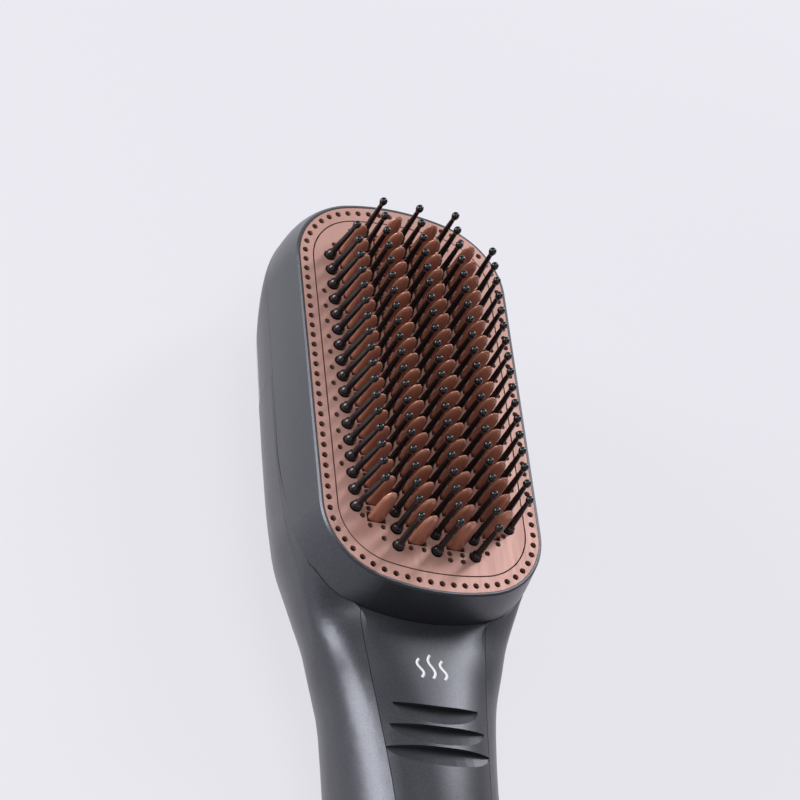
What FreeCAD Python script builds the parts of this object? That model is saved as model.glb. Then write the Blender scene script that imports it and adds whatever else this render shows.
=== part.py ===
"""Steam hair straightener brush as a parametric FreeCAD document.

Millimetres. The brush lies on its back: Z = 0 is the table and +Z is the way the bristles point.
X = Y = 0 is under the middle of the plate, +Y is the tip of the head and the handle runs along -Y.
"""
import math
import os
from collections import namedtuple

import FreeCAD
import Part
import Sketcher
from FreeCAD import Placement, Rotation, Vector

SIZES = (
    # Head, seen from the bristle side
    ("plate_width", 64.6, "rim ring across, outside"),
    ("plate_length", 130.8, "rim ring along, outside"),
    ("plate_height", 58.0, "top of the plate above the table"),
    ("rim_corner", 22.0, "corner radius of the rim ring"),
    ("rim_end", 62.0, "radius of the ring's rounded ends"),
    ("ring_side", 4.1, "ring width along the sides"),
    ("ring_end", 5.25, "ring width at the ends"),
    ("groove_corner", 17.0, "corner radius of the inner plate"),
    ("groove_end", 75.0, "radius of the inner plate's ends"),
    ("groove_gap", 0.4, "gap between ring and inner plate"),
    ("sheet", 1.4, "thickness of ring and plate"),
    ("skirt", 0.7, "wall of the ring's skirt"),
    ("skirt_depth", 10.0, "ring top to the lower edge of its skirt"),
    ("rim_hole", 1.8, "diameter of the rim outlets"),
    ("rim_hole_pitch", 3.42, "spacing of the rim outlets"),
    ("rim_hole_inset", 1.65, "outlets from the ring's outer edge, at the sides"),
    ("rim_hole_end_inset", 2.2, "outlets from the ring's outer edge, at the ends"),
    # Bristles, combs and their outlets
    ("column_margin", 5.2, "outer bristle column to the groove"),
    ("row_pitch", 5.4, "spacing of the bristle rows"),
    ("row_margin", 5.8, "last bristle row to the groove, at least"),
    ("row_shift", 0.9, "bristle field towards the tip"),
    ("short_rows", 2.0, "rows that the outer columns lack at each end"),
    ("bristle_height", 15.4, "centre of the ball tip above the plate"),
    ("ball", 2.3, "diameter of the ball tip"),
    ("pin_root", 1.9, "pin diameter above its collar"),
    ("pin_tip", 1.3, "pin diameter under the ball"),
    ("collar", 3.0, "diameter of the collar round each pin"),
    ("collar_height", 1.8, "collar above the plate"),
    ("lean_left", 8.0, "inward lean of the left column, degrees"),
    ("lean_right", 3.0, "inward lean of the right column, degrees"),
    ("strip_width", 4.4, "width of a bristle strip"),
    ("bar_gap", 0.35, "gap between a strip and a comb bar"),
    ("comb_height", 3.5, "height of a comb bar"),
    ("fin_gap", 1.1, "gap between a fin and the strip beside it"),
    ("fin_thickness", 2.6, "heated fin along the brush"),
    ("fin_height", 12.6, "heated fin above the plate"),
    ("fin_taper", 0.75, "how much narrower each side of a fin is at its tip"),
    ("bar_end", 2.2, "strip or comb bar past its last pin or fin"),
    ("pass_gap", 0.3, "clearance of pins and fins in the plate"),
    ("steam_hole", 1.6, "diameter of the small steam outlets"),
    ("steam_spread", 1.92, "steam outlets either side of a fin's middle"),
    ("side_hole", 2.8, "outer line of steam outlets past the outer column"),
    ("corner_hole", 1.8, "corner outlets from the outer comb and column, towards the middle"),
    ("end_hole", 3.9, "extra pair of outlets past the last row at the neck"),
    # Housing
    ("lip", 1.0, "housing lip round the ring"),
    ("flare", 2.6, "how far the side wall flares below the lip"),
    ("flare_depth", 22.0, "depth at which the flare ends"),
    ("tip_reach", 8.0, "how much further the wall flares at the tip"),
    ("tip_round", 6.9, "how much its corner radius grows there"),
    ("tip_narrow", 1.5, "how much narrower the wall gets there on each side"),
    ("edge_break", 0.4, "chamfer round the housing's lip"),
    ("wall", 2.0, "wall of the housings"),
    ("parting_gap", 0.15, "gap along the parting lines"),
    ("parting_mid", 20.8, "parting line below the plate's top, mid head"),
    ("parting_end", 12.8, "parting line below the plate's top, at the neck"),
    ("parting_start", 55.4, "where the parting line starts to climb, above the plate's lower edge"),
    ("parting_stop", 7.4, "where it reaches its end level, above the plate's lower edge"),
    ("rear_sink", 2.0, "how far the round back is cut flat by the table"),
    ("dome_foot", 6.6, "foot of the dome at the tip beyond the tank's front"),
    ("neck_length", 85.0, "lower edge of the plate to the full handle"),
    ("handle_width", 45.0, "handle across"),
    ("handle_drop", 8.8, "front of the handle below the plate's top"),
    ("handle_length", 175.0, "lower edge of the plate to the handle's end"),
    ("handle_end_radius", 18.5, "radius of the round handle end"),
    ("handle_end_level", 26.5, "axis of the handle end above the table"),
    ("cover_neck_half", 18.0, "half width of the handle cover at the neck"),
    ("cover_end_half", 12.5, "half width of the handle cover at the end"),
    ("scoop_first", 29.8, "first finger scoop past the plate's edge"),
    ("scoop_pitch", 6.3, "spacing of the finger scoops"),
    ("scoop_width", 25.0, "width of the first finger scoop"),
    ("scoop_growth", 2.6, "how much wider each next scoop is"),
    ("scoop_length", 5.6, "length of a finger scoop along the handle"),
    ("scoop_depth", 2.0, "depth of a finger scoop"),
    ("scoop_sag", 0.7, "how far the ends of a scoop curl towards the head"),
    # Steam pan, gaskets and heat tray
    ("pan_wall", 2.4, "wall of the steam pan"),
    ("pan_drop", 22.0, "underside of the pan below the plate's top"),
    ("pan_sheet", 1.6, "floor and flange of the pan"),
    ("flange_reach", 0.6, "pan flange past the ring's outline"),
    ("gasket", 0.6, "thickness of the gaskets"),
    ("fit_gap", 0.3, "clearance between parts that only lie together"),
    ("tray_height", 3.5, "thickness of the heat tray"),
    ("tray_drop", 13.0, "underside of the tray below the plate's top"),
    ("clamp_gap", 1.0, "heater clamp to the pan's posts"),
    ("ptc_height", 3.0, "heater thickness"),
    ("ptc_end", 17.4, "heater's end to the end of the plate"),
    ("clamp_sheet", 1.2, "heater clamp thickness"),
    ("post", 7.0, "diameter of the pan's posts"),
    ("screw_core", 2.4, "diameter of the screws"),
    ("screw_head", 4.6, "diameter of the screw heads"),
    ("screw_head_height", 1.6, "height of the screw heads"),
    ("screw_gap", 0.05, "radial gap of a screw in its thread"),
    ("nozzle_bore", 2.4, "bore of the steam nozzle"),
    ("nozzle_outer", 4.0, "outside of the steam nozzle"),
    ("hose_outer", 6.0, "outside of the hoses"),
    ("barb", 3.8, "outside of the hose barbs"),
    ("barb_length", 6.0, "length of the hose barbs"),
    ("hose_rise", 3.4, "straight end of the steam hose"),
    ("hose_bend", 6.0, "bend radius of the steam hose"),
    # Water side
    ("tank_start", 14.3, "front face of the tank from the middle of the plate"),
    ("tank_roof", 24.0, "top of the tank above the table"),
    ("tank_wall", 1.8, "wall of the tank"),
    ("slide_gap", 0.3, "gap round the tank"),
    ("guide_pin", 4.0, "diameter of the tank's guide pins"),
    ("guide_length", 14.0, "length of the guide pins"),
    ("guide_level", 19.0, "height of the tank's guide pins"),
    ("rim_clearance", 0.12, "gap between the ring and the front housing"),
    ("ledge_reach", 0.9, "rear shell's ledge under the ring"),
    ("guide_inset", 23.9, "guide pins from the side of the head"),
    ("running_gap", 0.08, "radial gap of a running fit"),
    ("spigot", 5.0, "diameter of the tank valve's spigot"),
    ("plug", 7.8, "diameter of the filler plug"),
    ("plug_inset", 16.1, "filler plug from the side of the head"),
    ("pump_clearance", 1.5, "pump above the floor of the rear shell"),
    ("pump_diameter", 21.0, "pump body"),
    ("pump_length", 32.0, "pump body along"),
    ("boiler_width", 24.0, "evaporator across"),
    ("boiler_length", 24.0, "evaporator along"),
    ("boiler_height", 20.0, "evaporator height"),
    ("boiler_drop", 4.0, "underside of the evaporator below the water axis"),
    # Controls and cord end
    ("board_width", 26.0, "control board across"),
    ("board_length", 74.0, "control board along"),
    ("board_drop", 13.2, "underside of the board below the handle's front"),
    ("board_sheet", 1.6, "board thickness"),
    ("controls_start", 62.0, "top end of the board past the plate's edge"),
    ("button", 11.4, "diameter of the buttons"),
    ("button_gap", 0.3, "radial gap round a button"),
    ("button_rise", 1.4, "button above the handle's front"),
    ("button_travel", 0.8, "travel of the buttons"),
    ("button_pitch", 17.0, "spacing of the buttons"),
    ("flange_slope", 0.208, "how far the flanges under the cover lie below it, per reach from the middle"),
    ("cap_length", 8.0, "end cap past the handle's end"),
    ("journal", 14.0, "diameter of the swivel's journal"),
    ("cord_bore", 6.4, "bore for the cord"),
    ("nose_length", 14.0, "length of the swivel's nose"),
)

doc = FreeCAD.newDocument("steam_brush")


def make_sheet():
    """The driving dimensions, one named cell each."""
    table = doc.addObject("Spreadsheet::Sheet", "sizes")
    for row, (alias, value, note) in enumerate(SIZES, start=1):
        table.set(f"A{row}", alias)
        table.set(f"B{row}", str(value))
        table.set(f"C{row}", note)
        table.setAlias(f"B{row}", alias)
    doc.recompute()
    return table


sheet = make_sheet()
nodes = []


def size(alias):
    """One driving dimension as a number."""
    return float(sheet.get(alias))


def register(obj, name):
    """Gives a finished sub-part its node name."""
    obj.Label = name
    nodes.append(obj)
    return obj


def feature(name, shape):
    """A computed shape as a document object."""
    obj = doc.addObject("Part::Feature", name)
    obj.Shape = shape
    return obj


# Values worked out from the driving dimensions -------------------------------------------------
PLATE_TOP = size("plate_height")
HALF_WIDTH = size("plate_width") / 2
HALF_LENGTH = size("plate_length") / 2
HEAD_HALF = HALF_WIDTH + size("lip") + size("flare")
HANDLE_HALF = size("handle_width") / 2
HANDLE_END = -HALF_LENGTH - size("handle_length")
TRAY_UNDER = PLATE_TOP - size("tray_drop")
TRAY_TOP = TRAY_UNDER + size("tray_height")
SHEET_UNDER = PLATE_TOP - size("sheet")
PAN_FLOOR = PLATE_TOP - size("pan_drop")
HANDLE_TOP = PLATE_TOP - size("handle_drop")
BOARD_UNDER = HANDLE_TOP - size("board_drop")
BOARD_TOP = BOARD_UNDER + size("board_sheet")
WATER_LEVEL = size("wall") + size("pump_clearance") + size("pump_diameter") / 2
BOILER_FLOOR = WATER_LEVEL - size("boiler_drop")
HOSE_TOP = PAN_FLOOR - 1.6
STEAM_LEVEL = HOSE_TOP - size("hose_rise") - size("hose_bend")
SKIRT_END = PLATE_TOP - size("skirt_depth")
COLUMN_PITCH = (HALF_WIDTH - size("ring_side") - size("column_margin")) / 2
FLANGE_TOP = SKIRT_END - size("gasket")
FLANGE_UNDER = FLANGE_TOP - size("pan_sheet") + 0.2

# The same values as expressions for bound sizes
X_RIM = "sizes.plate_width / 2"
Y_RIM = "sizes.plate_length / 2"
OUTLINES = {
    "rim": (X_RIM, Y_RIM, "sizes.rim_corner", "sizes.rim_end"),
    "groove": (f"{X_RIM} - sizes.ring_side", f"{Y_RIM} - sizes.ring_end",
               "sizes.groove_corner", "sizes.groove_end"),
}
E_SHEET_UNDER = "sizes.plate_height - sizes.sheet"
E_SKIRT_END = "sizes.plate_height - sizes.skirt_depth"
E_TRAY_UNDER = "sizes.plate_height - sizes.tray_drop"
E_TRAY_TOP = f"{E_TRAY_UNDER} + sizes.tray_height"
E_PAN_FLOOR = "(sizes.plate_height - sizes.pan_drop)"
E_HANDLE_TOP = "(sizes.plate_height - sizes.handle_drop)"
E_BOARD_TOP = f"({E_HANDLE_TOP} - sizes.board_drop + sizes.board_sheet)"
E_PITCH = "(sizes.plate_width / 2 - sizes.ring_side - sizes.column_margin) / 2"
E_FIN_WIDTH = f"({E_PITCH} - sizes.strip_width - 2 * sizes.fin_gap)"
E_FIN_TIP = f"({E_FIN_WIDTH} / 2 - sizes.fin_taper)"
E_ROWS = ("(2 * floor((sizes.plate_length / 2 - sizes.ring_end - sizes.row_margin)"
          " / sizes.row_pitch) + 1)")


# Plan outlines ---------------------------------------------------------------------------------
def outline_numbers(kind, offset=0.0):
    """Half width, half length, corner radius and end radius of an outline grown by an offset."""
    if kind == "rim":
        base = (HALF_WIDTH, HALF_LENGTH, size("rim_corner"), size("rim_end"))
    else:
        base = (HALF_WIDTH - size("ring_side"), HALF_LENGTH - size("ring_end"),
                size("groove_corner"), size("groove_end"))
    return tuple(value + offset for value in base)


def corner_centre(half_width, half_length, corner, end):
    """Centre of the corner arc that is tangent to the side and to the end arc."""
    across = half_width - corner
    along = half_length - end + math.sqrt((end - corner) ** 2 - across ** 2)
    return across, along


def outline_points(numbers, level):
    """Side, middle of the corner, end of the corner and tip, on the right of an outline."""
    half_width, half_length, corner, end = numbers
    across, along = corner_centre(*numbers)
    lean = math.atan2(along - (half_length - end), across)

    def on_corner(turn):
        return Vector(across + corner * math.cos(turn), along + corner * math.sin(turn), level)

    side, tip = Vector(half_width, along, level), Vector(0, half_length, level)
    return side, on_corner(lean / 2), on_corner(lean), tip


def outline_wire(numbers, level, tail=None, neck=None):
    """Closed plan outline at a level.

    The neck end may have numbers of its own; with a tail, a half width and a Y, it ends straight.
    """
    side, middle, touch, tip = outline_points(numbers, level)

    def across(point):
        return Vector(-point.x, point.y, level)

    def arc(*points):
        return Part.Arc(*points).toShape()

    def line(start, stop):
        return Part.LineSegment(start, stop).toShape()

    edges = [arc(side, middle, touch), arc(touch, tip, across(touch)),
             arc(across(touch), across(middle), across(side))]
    if tail is not None:
        corner = Vector(*tail, level)
        return Part.Wire(edges + [line(across(side), across(corner)), line(across(corner), corner),
                                  line(corner, side)])
    low, low_middle, low_touch, low_tip = [Vector(point.x, -point.y, level)
                                           for point in outline_points(neck or numbers, level)]
    edges += [line(across(side), across(low)), arc(across(low), across(low_middle), across(low_touch)),
              arc(across(low_touch), low_tip, low_touch), arc(low_touch, low_middle, low), line(low, side)]
    return Part.Wire(edges)


def outline_prism(kind, offset, low, high):
    """Straight prism over a plan outline."""
    face = Part.Face(outline_wire(outline_numbers(kind, offset), low))
    return face.extrude(Vector(0, 0, high - low))


def outline_half(y, offset):
    """Half width of the rim outline, grown by an offset, at a given Y towards the neck."""
    half_width, half_length, corner, end = outline_numbers("rim", offset)
    across, along = corner_centre(half_width, half_length, corner, end)
    down = -y
    if down <= along:
        return half_width
    lean = math.atan2(along - (half_length - end), across)
    if down <= along + corner * math.sin(lean):
        return across + math.sqrt(corner ** 2 - (down - along) ** 2)
    return math.sqrt(max(end ** 2 - (down - half_length + end) ** 2, 0.0))


# Sketch helpers --------------------------------------------------------------------------------
def origin_part(body, role):
    return next(item for item in body.Origin.OriginFeatures if item.Role == role)


def new_body(name):
    return doc.addObject("PartDesign::Body", name)


def new_sketch(body, name, level="0", plane="XY_Plane"):
    """Sketch on one of the body's own origin planes, lifted by a bound distance."""
    sketch = body.newObject("Sketcher::SketchObject", name)
    sketch.AttachmentSupport = [(origin_part(body, plane), "")]
    sketch.MapMode = "FlatFace"
    sketch.setExpression("AttachmentOffset.Base.z", level)
    return sketch


def bind(sketch, name, constraint, expression):
    index = sketch.addConstraint(constraint)
    sketch.renameConstraint(index, name)
    sketch.setExpression(f"Constraints.{name}", expression)


def outline_sketch(body, name, kind, offset, level):
    """Fully constrained plan outline of four corner arcs, two end arcs and two straight sides."""
    sketch = new_sketch(body, name, level)
    half_width, half_length, corner, end = outline_numbers(kind)
    across, along = corner_centre(half_width, half_length, corner, end)
    lean = math.atan2(along - (half_length - end), across)
    up = Vector(0, 0, 1)

    def arc(x, y, radius, start, stop):
        return Part.ArcOfCircle(Part.Circle(Vector(x, y, 0), up, radius), start, stop)

    centre = half_length - end
    sketch.addGeometry([
        Part.LineSegment(Vector(half_width, -along, 0), Vector(half_width, along, 0)),
        arc(across, along, corner, 0, lean),
        arc(0, centre, end, lean, math.pi - lean),
        arc(-across, along, corner, math.pi - lean, math.pi),
        Part.LineSegment(Vector(-half_width, along, 0), Vector(-half_width, -along, 0)),
        arc(-across, -along, corner, math.pi, math.pi + lean),
        arc(0, -centre, end, math.pi + lean, 2 * math.pi - lean),
        arc(across, -along, corner, 2 * math.pi - lean, 2 * math.pi),
        Part.Point(Vector(0, half_length, 0)),
    ], False)
    for index in range(8):
        sketch.addConstraint(Sketcher.Constraint("Tangent", index, 2, (index + 1) % 8, 1))
    sketch.addConstraint(Sketcher.Constraint("Symmetric", 0, 1, 0, 2, -1))
    sketch.addConstraint(Sketcher.Constraint("Symmetric", 0, 2, 4, 1, -2))
    for index in (3, 5, 7):
        sketch.addConstraint(Sketcher.Constraint("Equal", 1, index))
    sketch.addConstraint(Sketcher.Constraint("Equal", 2, 6))
    sketch.addConstraint(Sketcher.Constraint("PointOnObject", 2, 3, -2))
    sketch.addConstraint(Sketcher.Constraint("PointOnObject", 6, 3, -2))
    sketch.addConstraint(Sketcher.Constraint("PointOnObject", 8, 1, -2))
    sketch.addConstraint(Sketcher.Constraint("PointOnObject", 8, 1, 2))
    width, length, round_corner, round_end = (f"{term} + {offset}" for term in OUTLINES[kind])
    bind(sketch, "half_width", Sketcher.Constraint("DistanceX", -1, 1, 0, 2, half_width), width)
    bind(sketch, "half_length", Sketcher.Constraint("DistanceY", -1, 1, 8, 1, half_length), length)
    bind(sketch, "corner", Sketcher.Constraint("Radius", 1, corner), round_corner)
    bind(sketch, "end", Sketcher.Constraint("Radius", 2, end), round_end)
    return sketch


def box_sketch(body, name, level, width, length, x="0", y="0"):
    """Centred rectangle; all its sizes are expressions."""
    sketch = new_sketch(body, name, level)
    sketch.setExpression("AttachmentOffset.Base.x", x)
    sketch.setExpression("AttachmentOffset.Base.y", y)
    corners = [Vector(-1, -1, 0), Vector(1, -1, 0), Vector(1, 1, 0), Vector(-1, 1, 0)]
    for index in range(4):
        sketch.addGeometry(Part.LineSegment(corners[index], corners[(index + 1) % 4]), False)
    for index in range(4):
        sketch.addConstraint(Sketcher.Constraint("Coincident", index, 2, (index + 1) % 4, 1))
    for index in (0, 2):
        sketch.addConstraint(Sketcher.Constraint("Horizontal", index))
        sketch.addConstraint(Sketcher.Constraint("Vertical", index + 1))
    sketch.addConstraint(Sketcher.Constraint("Symmetric", 0, 1, 2, 1, -1, 1))
    bind(sketch, "width", Sketcher.Constraint("DistanceX", 0, 1, 0, 2, 2), width)
    bind(sketch, "length", Sketcher.Constraint("DistanceY", 1, 1, 1, 2, 2), length)
    return sketch


def circle_sketch(body, name, level, diameter, places):
    """Circles of one bound diameter at bound places."""
    sketch = new_sketch(body, name, level)
    for index, (x, y) in enumerate(places):
        sketch.addGeometry(Part.Circle(Vector(index, index, 0), Vector(0, 0, 1), 1), False)
        if index == 0:
            bind(sketch, "diameter", Sketcher.Constraint("Diameter", 0, 2), diameter)
        else:
            sketch.addConstraint(Sketcher.Constraint("Equal", 0, index))
        bind(sketch, f"x{index}", Sketcher.Constraint("DistanceX", -1, 1, index, 3, index), x)
        bind(sketch, f"y{index}", Sketcher.Constraint("DistanceY", -1, 1, index, 3, index), y)
    return sketch


def profile_sketch(body, name, points, plane="XZ_Plane"):
    """Closed half profile through bound points, each a pair of expressions, for a revolution."""
    sketch = new_sketch(body, name, "0", plane)
    count = len(points)
    for index in range(count):
        start, stop = Vector(index, index, 0), Vector(index + 1, index + 2, 0)
        sketch.addGeometry(Part.LineSegment(start, stop), False)
    for index in range(count):
        sketch.addConstraint(Sketcher.Constraint("Coincident", index, 2, (index + 1) % count, 1))
    for index, (x, y) in enumerate(points):
        bind(sketch, f"x{index}", Sketcher.Constraint("DistanceX", -1, 1, index, 1, 1), x)
        bind(sketch, f"y{index}", Sketcher.Constraint("DistanceY", -1, 1, index, 1, 1), y)
    return sketch


def pad(body, sketch, name, length):
    item = body.newObject("PartDesign::Pad", name)
    item.Profile = sketch
    item.setExpression("Length", length)
    sketch.Visibility = False
    return item


def pocket(body, sketch, name, length=None, upward=True):
    """Cuts from the sketch up (or down) by a bound length, or through everything."""
    item = body.newObject("PartDesign::Pocket", name)
    item.Profile = sketch
    item.Reversed = upward
    if length is None:
        item.Type = "ThroughAll"
    else:
        item.setExpression("Length", length)
    sketch.Visibility = False
    return item


def row_pattern(body, source, name, count, pitch="sizes.row_pitch"):
    """Repeats a feature towards -Y."""
    item = body.newObject("PartDesign::LinearPattern", name)
    item.Originals = [source]
    item.Direction = (origin_part(body, "Y_Axis"), [""])
    item.Reversed = True
    item.setExpression("Length", f"({count} - 1) * {pitch}")
    item.setExpression("Occurrences", count)
    body.Tip = item
    return item


def revolve(body, sketch, name, axis="V_Axis"):
    item = body.newObject("PartDesign::Revolution", name)
    item.Profile = sketch
    item.ReferenceAxis = (sketch, [axis])
    item.Angle = 360
    sketch.Visibility = False
    return item


# Field of bristles and fins: first row's Y for a column that lacks some rows at each end
def first_row(lacking="0", halves="0"):
    return (f"(({E_ROWS} - 1) / 2 - {lacking} - {halves}) * sizes.row_pitch + sizes.row_shift")


COLUMNS = {
    # name: (place in column pitches, rows lacking at each end, lean towards +X in degrees)
    "bristle_strip_left": (-2, "sizes.short_rows", "sizes.lean_left"),
    "bristle_strip_mid_left": (-1, "0", None),
    "bristle_strip_centre": (0, "0", None),
    "bristle_strip_mid_right": (1, "0", None),
    "bristle_strip_right": (2, "sizes.short_rows", "-sizes.lean_right"),
}
COMBS = {
    "heat_comb_left": (-1.5, "(sizes.short_rows - 1)"),
    "heat_comb_mid_left": (-0.5, "0"),
    "heat_comb_mid_right": (0.5, "0"),
    "heat_comb_right": (1.5, "(sizes.short_rows - 1)"),
}


def rows_of(lacking):
    return f"({E_ROWS} - 2 * {lacking})"


# Plate, ring and gaskets -----------------------------------------------------------------------
def make_vent_ring():
    """Rim ring with a skirt, a channel under it and a line of outlets."""
    body = new_body("ring_body")
    block = outline_sketch(body, "ring_outline", "rim", "0", E_SKIRT_END)
    pad(body, block, "ring_block", "sizes.skirt_depth")
    channel = outline_sketch(body, "ring_channel", "rim", "(-sizes.skirt)", E_SKIRT_END)
    pocket(body, channel, "ring_hollow", "sizes.skirt_depth - sizes.sheet")
    window = outline_sketch(body, "ring_window", "groove", "sizes.groove_gap / 2", E_SKIRT_END)
    pocket(body, window, "ring_opening")
    doc.recompute()
    outlets = feature("ring_outlets", Part.makeCompound(rim_outlets()))
    ring = doc.addObject("Part::Cut", "ring")
    ring.Base = body
    ring.Tool = outlets
    return register(ring, "vent_ring")


def rim_outlets():
    """Drills evenly spaced along the ring's outlet line."""
    half_width = HALF_WIDTH - size("rim_hole_inset")
    half_length = HALF_LENGTH - size("rim_hole_end_inset")
    numbers = (half_width, half_length, size("rim_corner") - size("rim_hole_end_inset"),
               (size("rim_end") + size("groove_end")) / 2)
    line = outline_wire(numbers, SHEET_UNDER - 1)
    count = round(line.Length / size("rim_hole_pitch"))
    drills = []
    for point in line.discretize(Number=count + 1)[:-1]:
        drills.append(Part.makeCylinder(size("rim_hole") / 2, size("sheet") + 2, point))
    return drills


def make_vent_plate():
    """Inner plate with a hole for each collar, a slot for each fin and the small outlets."""
    body = new_body("plate_body")
    base = outline_sketch(body, "plate_outline", "groove", "(-sizes.groove_gap / 2)", E_SHEET_UNDER)
    pad(body, base, "plate_sheet", "sizes.sheet")
    collar = "sizes.collar + 2 * sizes.pass_gap"
    full = [(f"{place} * {E_PITCH}", first_row()) for place in (-1, 0, 1)]
    outer = [(f"{place} * {E_PITCH}", first_row("sizes.short_rows")) for place in (-2, 2)]
    drilled(body, "mid_collars", collar, full, rows_of("0"))
    drilled(body, "outer_collars", collar, outer, rows_of("sizes.short_rows"))
    aisle = [(f"{place} * {E_PITCH} + {side} * sizes.steam_spread", first_row())
             for place in (-0.5, 0.5) for side in (-1, 1)]
    drilled(body, "mid_outlets", "sizes.steam_hole", aisle, rows_of("0"))
    aisle = [(f"{place} * {E_PITCH} + {side} * sizes.steam_spread", first_row("1"))
             for place in (-1.5, 1.5) for side in (-1, 1)]
    drilled(body, "outer_outlets", "sizes.steam_hole", aisle, rows_of("1"))
    sides = [(f"{side} * (2 * {E_PITCH} + sizes.side_hole)", first_row("4", "0.5")) for side in (-1, 1)]
    drilled(body, "side_outlets", "sizes.steam_hole", sides, rows_of("4") + " - 1")
    corners = []
    for place, row in ((1.5, first_row()), (2, first_row("1", "0.2"))):
        for side in (-1, 1):
            across = f"{side} * ({place} * {E_PITCH} - sizes.corner_hole)"
            corners += [(across, row), (across, f"2 * sizes.row_shift - {row}")]
    corners += [(f"0.5 * {E_PITCH} + {side} * sizes.steam_spread",
                 f"2 * sizes.row_shift - {first_row()} - sizes.end_hole") for side in (-1, 1)]
    holes = circle_sketch(body, "corner_holes", E_SHEET_UNDER, "sizes.steam_hole", corners)
    pocket(body, holes, "corner_outlets")
    for name, (place, lacking) in COMBS.items():
        slot = box_sketch(body, name + "_slot", E_SHEET_UNDER, f"{E_FIN_WIDTH} + 2 * sizes.pass_gap",
                          "sizes.fin_thickness + 2 * sizes.pass_gap", f"{place} * {E_PITCH}",
                          first_row(lacking, "0.5"))
        cut = pocket(body, slot, name + "_opening")
        row_pattern(body, cut, name + "_openings", rows_of(lacking) + " - 1")
    return register(body, "vent_plate")


def drilled(body, name, diameter, places, count):
    """A row of holes repeated down the plate."""
    sketch = circle_sketch(body, name + "_row", E_SHEET_UNDER, diameter, places)
    cut = pocket(body, sketch, name + "_cut")
    row_pattern(body, cut, name, count)


def make_gasket(name, outer, inner, level):
    """Flat ring between two outlines, each an outline's name and an offset."""
    body = new_body(name + "_body")
    disc = outline_sketch(body, name + "_outer", outer[0], outer[1], level)
    pad(body, disc, name + "_ring", "sizes.gasket")
    hole = outline_sketch(body, name + "_inner", inner[0], inner[1], level)
    pocket(body, hole, name + "_opening")
    return register(body, name)


# Bristle strips and heated combs ---------------------------------------------------------------
def make_strip(name, place, lacking, lean):
    """A bar under the plate with one pin per row: collar, tapered shaft and ball."""
    body = new_body(name + "_body")
    count = rows_of(lacking)
    bar = box_sketch(body, name + "_bar", E_TRAY_TOP, "sizes.strip_width",
                     f"({count} - 1) * sizes.row_pitch + 2 * sizes.bar_end", "0", "sizes.row_shift")
    pad(body, bar, name + "_rail", f"{E_SHEET_UNDER} - ({E_TRAY_TOP})")
    half = new_sketch(body, name + "_pin", f"-({first_row(lacking)})", "XZ_Plane")
    half.setExpression("AttachmentOffset.Base.y", "sizes.plate_height")
    if lean:
        half.AttachmentOffset = Placement(half.AttachmentOffset.Base, Rotation(Vector(0, 0, 1), -1))
        half.setExpression("AttachmentOffset.Rotation.Angle", f"-({lean})")
    draw_pin(half)
    pin = revolve(body, half, name + "_turned")
    row_pattern(body, pin, name + "_pins", count)
    body.setExpression("Placement.Base.x", f"{place} * {E_PITCH}")
    return register(body, name)


def draw_pin(sketch):
    """Half profile of a pin about its own axis, measured from the plate's top."""
    shaft, neck, ball = size("pin_root") / 2, size("pin_tip") / 2, size("ball") / 2
    height = size("bristle_height")
    meet = height - math.sqrt(ball ** 2 - neck ** 2)
    corners = [(0, -2), (size("collar") / 2, -2), (size("collar") / 2, 1), (shaft, 2), (neck, meet)]
    for start, stop in zip(corners, corners[1:]):
        sketch.addGeometry(Part.LineSegment(Vector(*start, 0), Vector(*stop, 0)), False)
    turn = math.atan2(meet - height, neck)
    round_tip = Part.Circle(Vector(0, height, 0), Vector(0, 0, 1), ball)
    sketch.addGeometry(Part.ArcOfCircle(round_tip, turn, math.pi / 2), False)
    sketch.addGeometry(Part.LineSegment(Vector(0, height + ball, 0), Vector(0, -2, 0)), False)
    for index in range(6):
        sketch.addConstraint(Sketcher.Constraint("Coincident", index, 2, (index + 1) % 6, 1))
    sketch.addConstraint(Sketcher.Constraint("Vertical", 5))
    sketch.addConstraint(Sketcher.Constraint("Vertical", 1))
    sketch.addConstraint(Sketcher.Constraint("Horizontal", 0))
    sketch.addConstraint(Sketcher.Constraint("PointOnObject", 0, 1, -2))
    sketch.addConstraint(Sketcher.Constraint("PointOnObject", 4, 3, -2))
    distance = Sketcher.Constraint
    bind(sketch, "root", distance("DistanceY", 0, 1, -1, 1, 2), "sizes.sheet + 0.6")
    bind(sketch, "collar", distance("DistanceX", -1, 1, 0, 2, 1.5), "sizes.collar / 2")
    bind(sketch, "rise", distance("DistanceY", -1, 1, 1, 2, 1), "sizes.collar_height")
    bind(sketch, "shoulder", distance("DistanceY", 1, 2, 2, 2, 1), "sizes.collar_height / 4")
    bind(sketch, "shaft", distance("DistanceX", -1, 1, 2, 2, shaft), "sizes.pin_root / 2")
    bind(sketch, "neck", distance("DistanceX", -1, 1, 3, 2, neck), "sizes.pin_tip / 2")
    bind(sketch, "height", distance("DistanceY", -1, 1, 4, 3, height), "sizes.bristle_height")
    bind(sketch, "ball", distance("Radius", 4, ball), "sizes.ball / 2")


def make_comb(name, place, lacking):
    """A bar on the heat tray with a row of flat fins with rounded tips."""
    body = new_body(name + "_body")
    count = rows_of(lacking) + " - 1"
    bar = box_sketch(body, name + "_bar", E_TRAY_TOP,
                     f"{E_PITCH} - sizes.strip_width - 2 * sizes.bar_gap",
                     f"({count} - 1) * sizes.row_pitch + 2 * sizes.bar_end", "0", "sizes.row_shift")
    pad(body, bar, name + "_rail", "sizes.comb_height")
    blade = fin_sketch(body, name + "_fin", first_row(lacking, "0.5"))
    fin = pad(body, blade, name + "_blade", "sizes.fin_thickness")
    fin.Midplane = True
    row_pattern(body, fin, name + "_fins", count)
    body.setExpression("Placement.Base.x", f"{place} * {E_PITCH}")
    return register(body, name)


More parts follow.
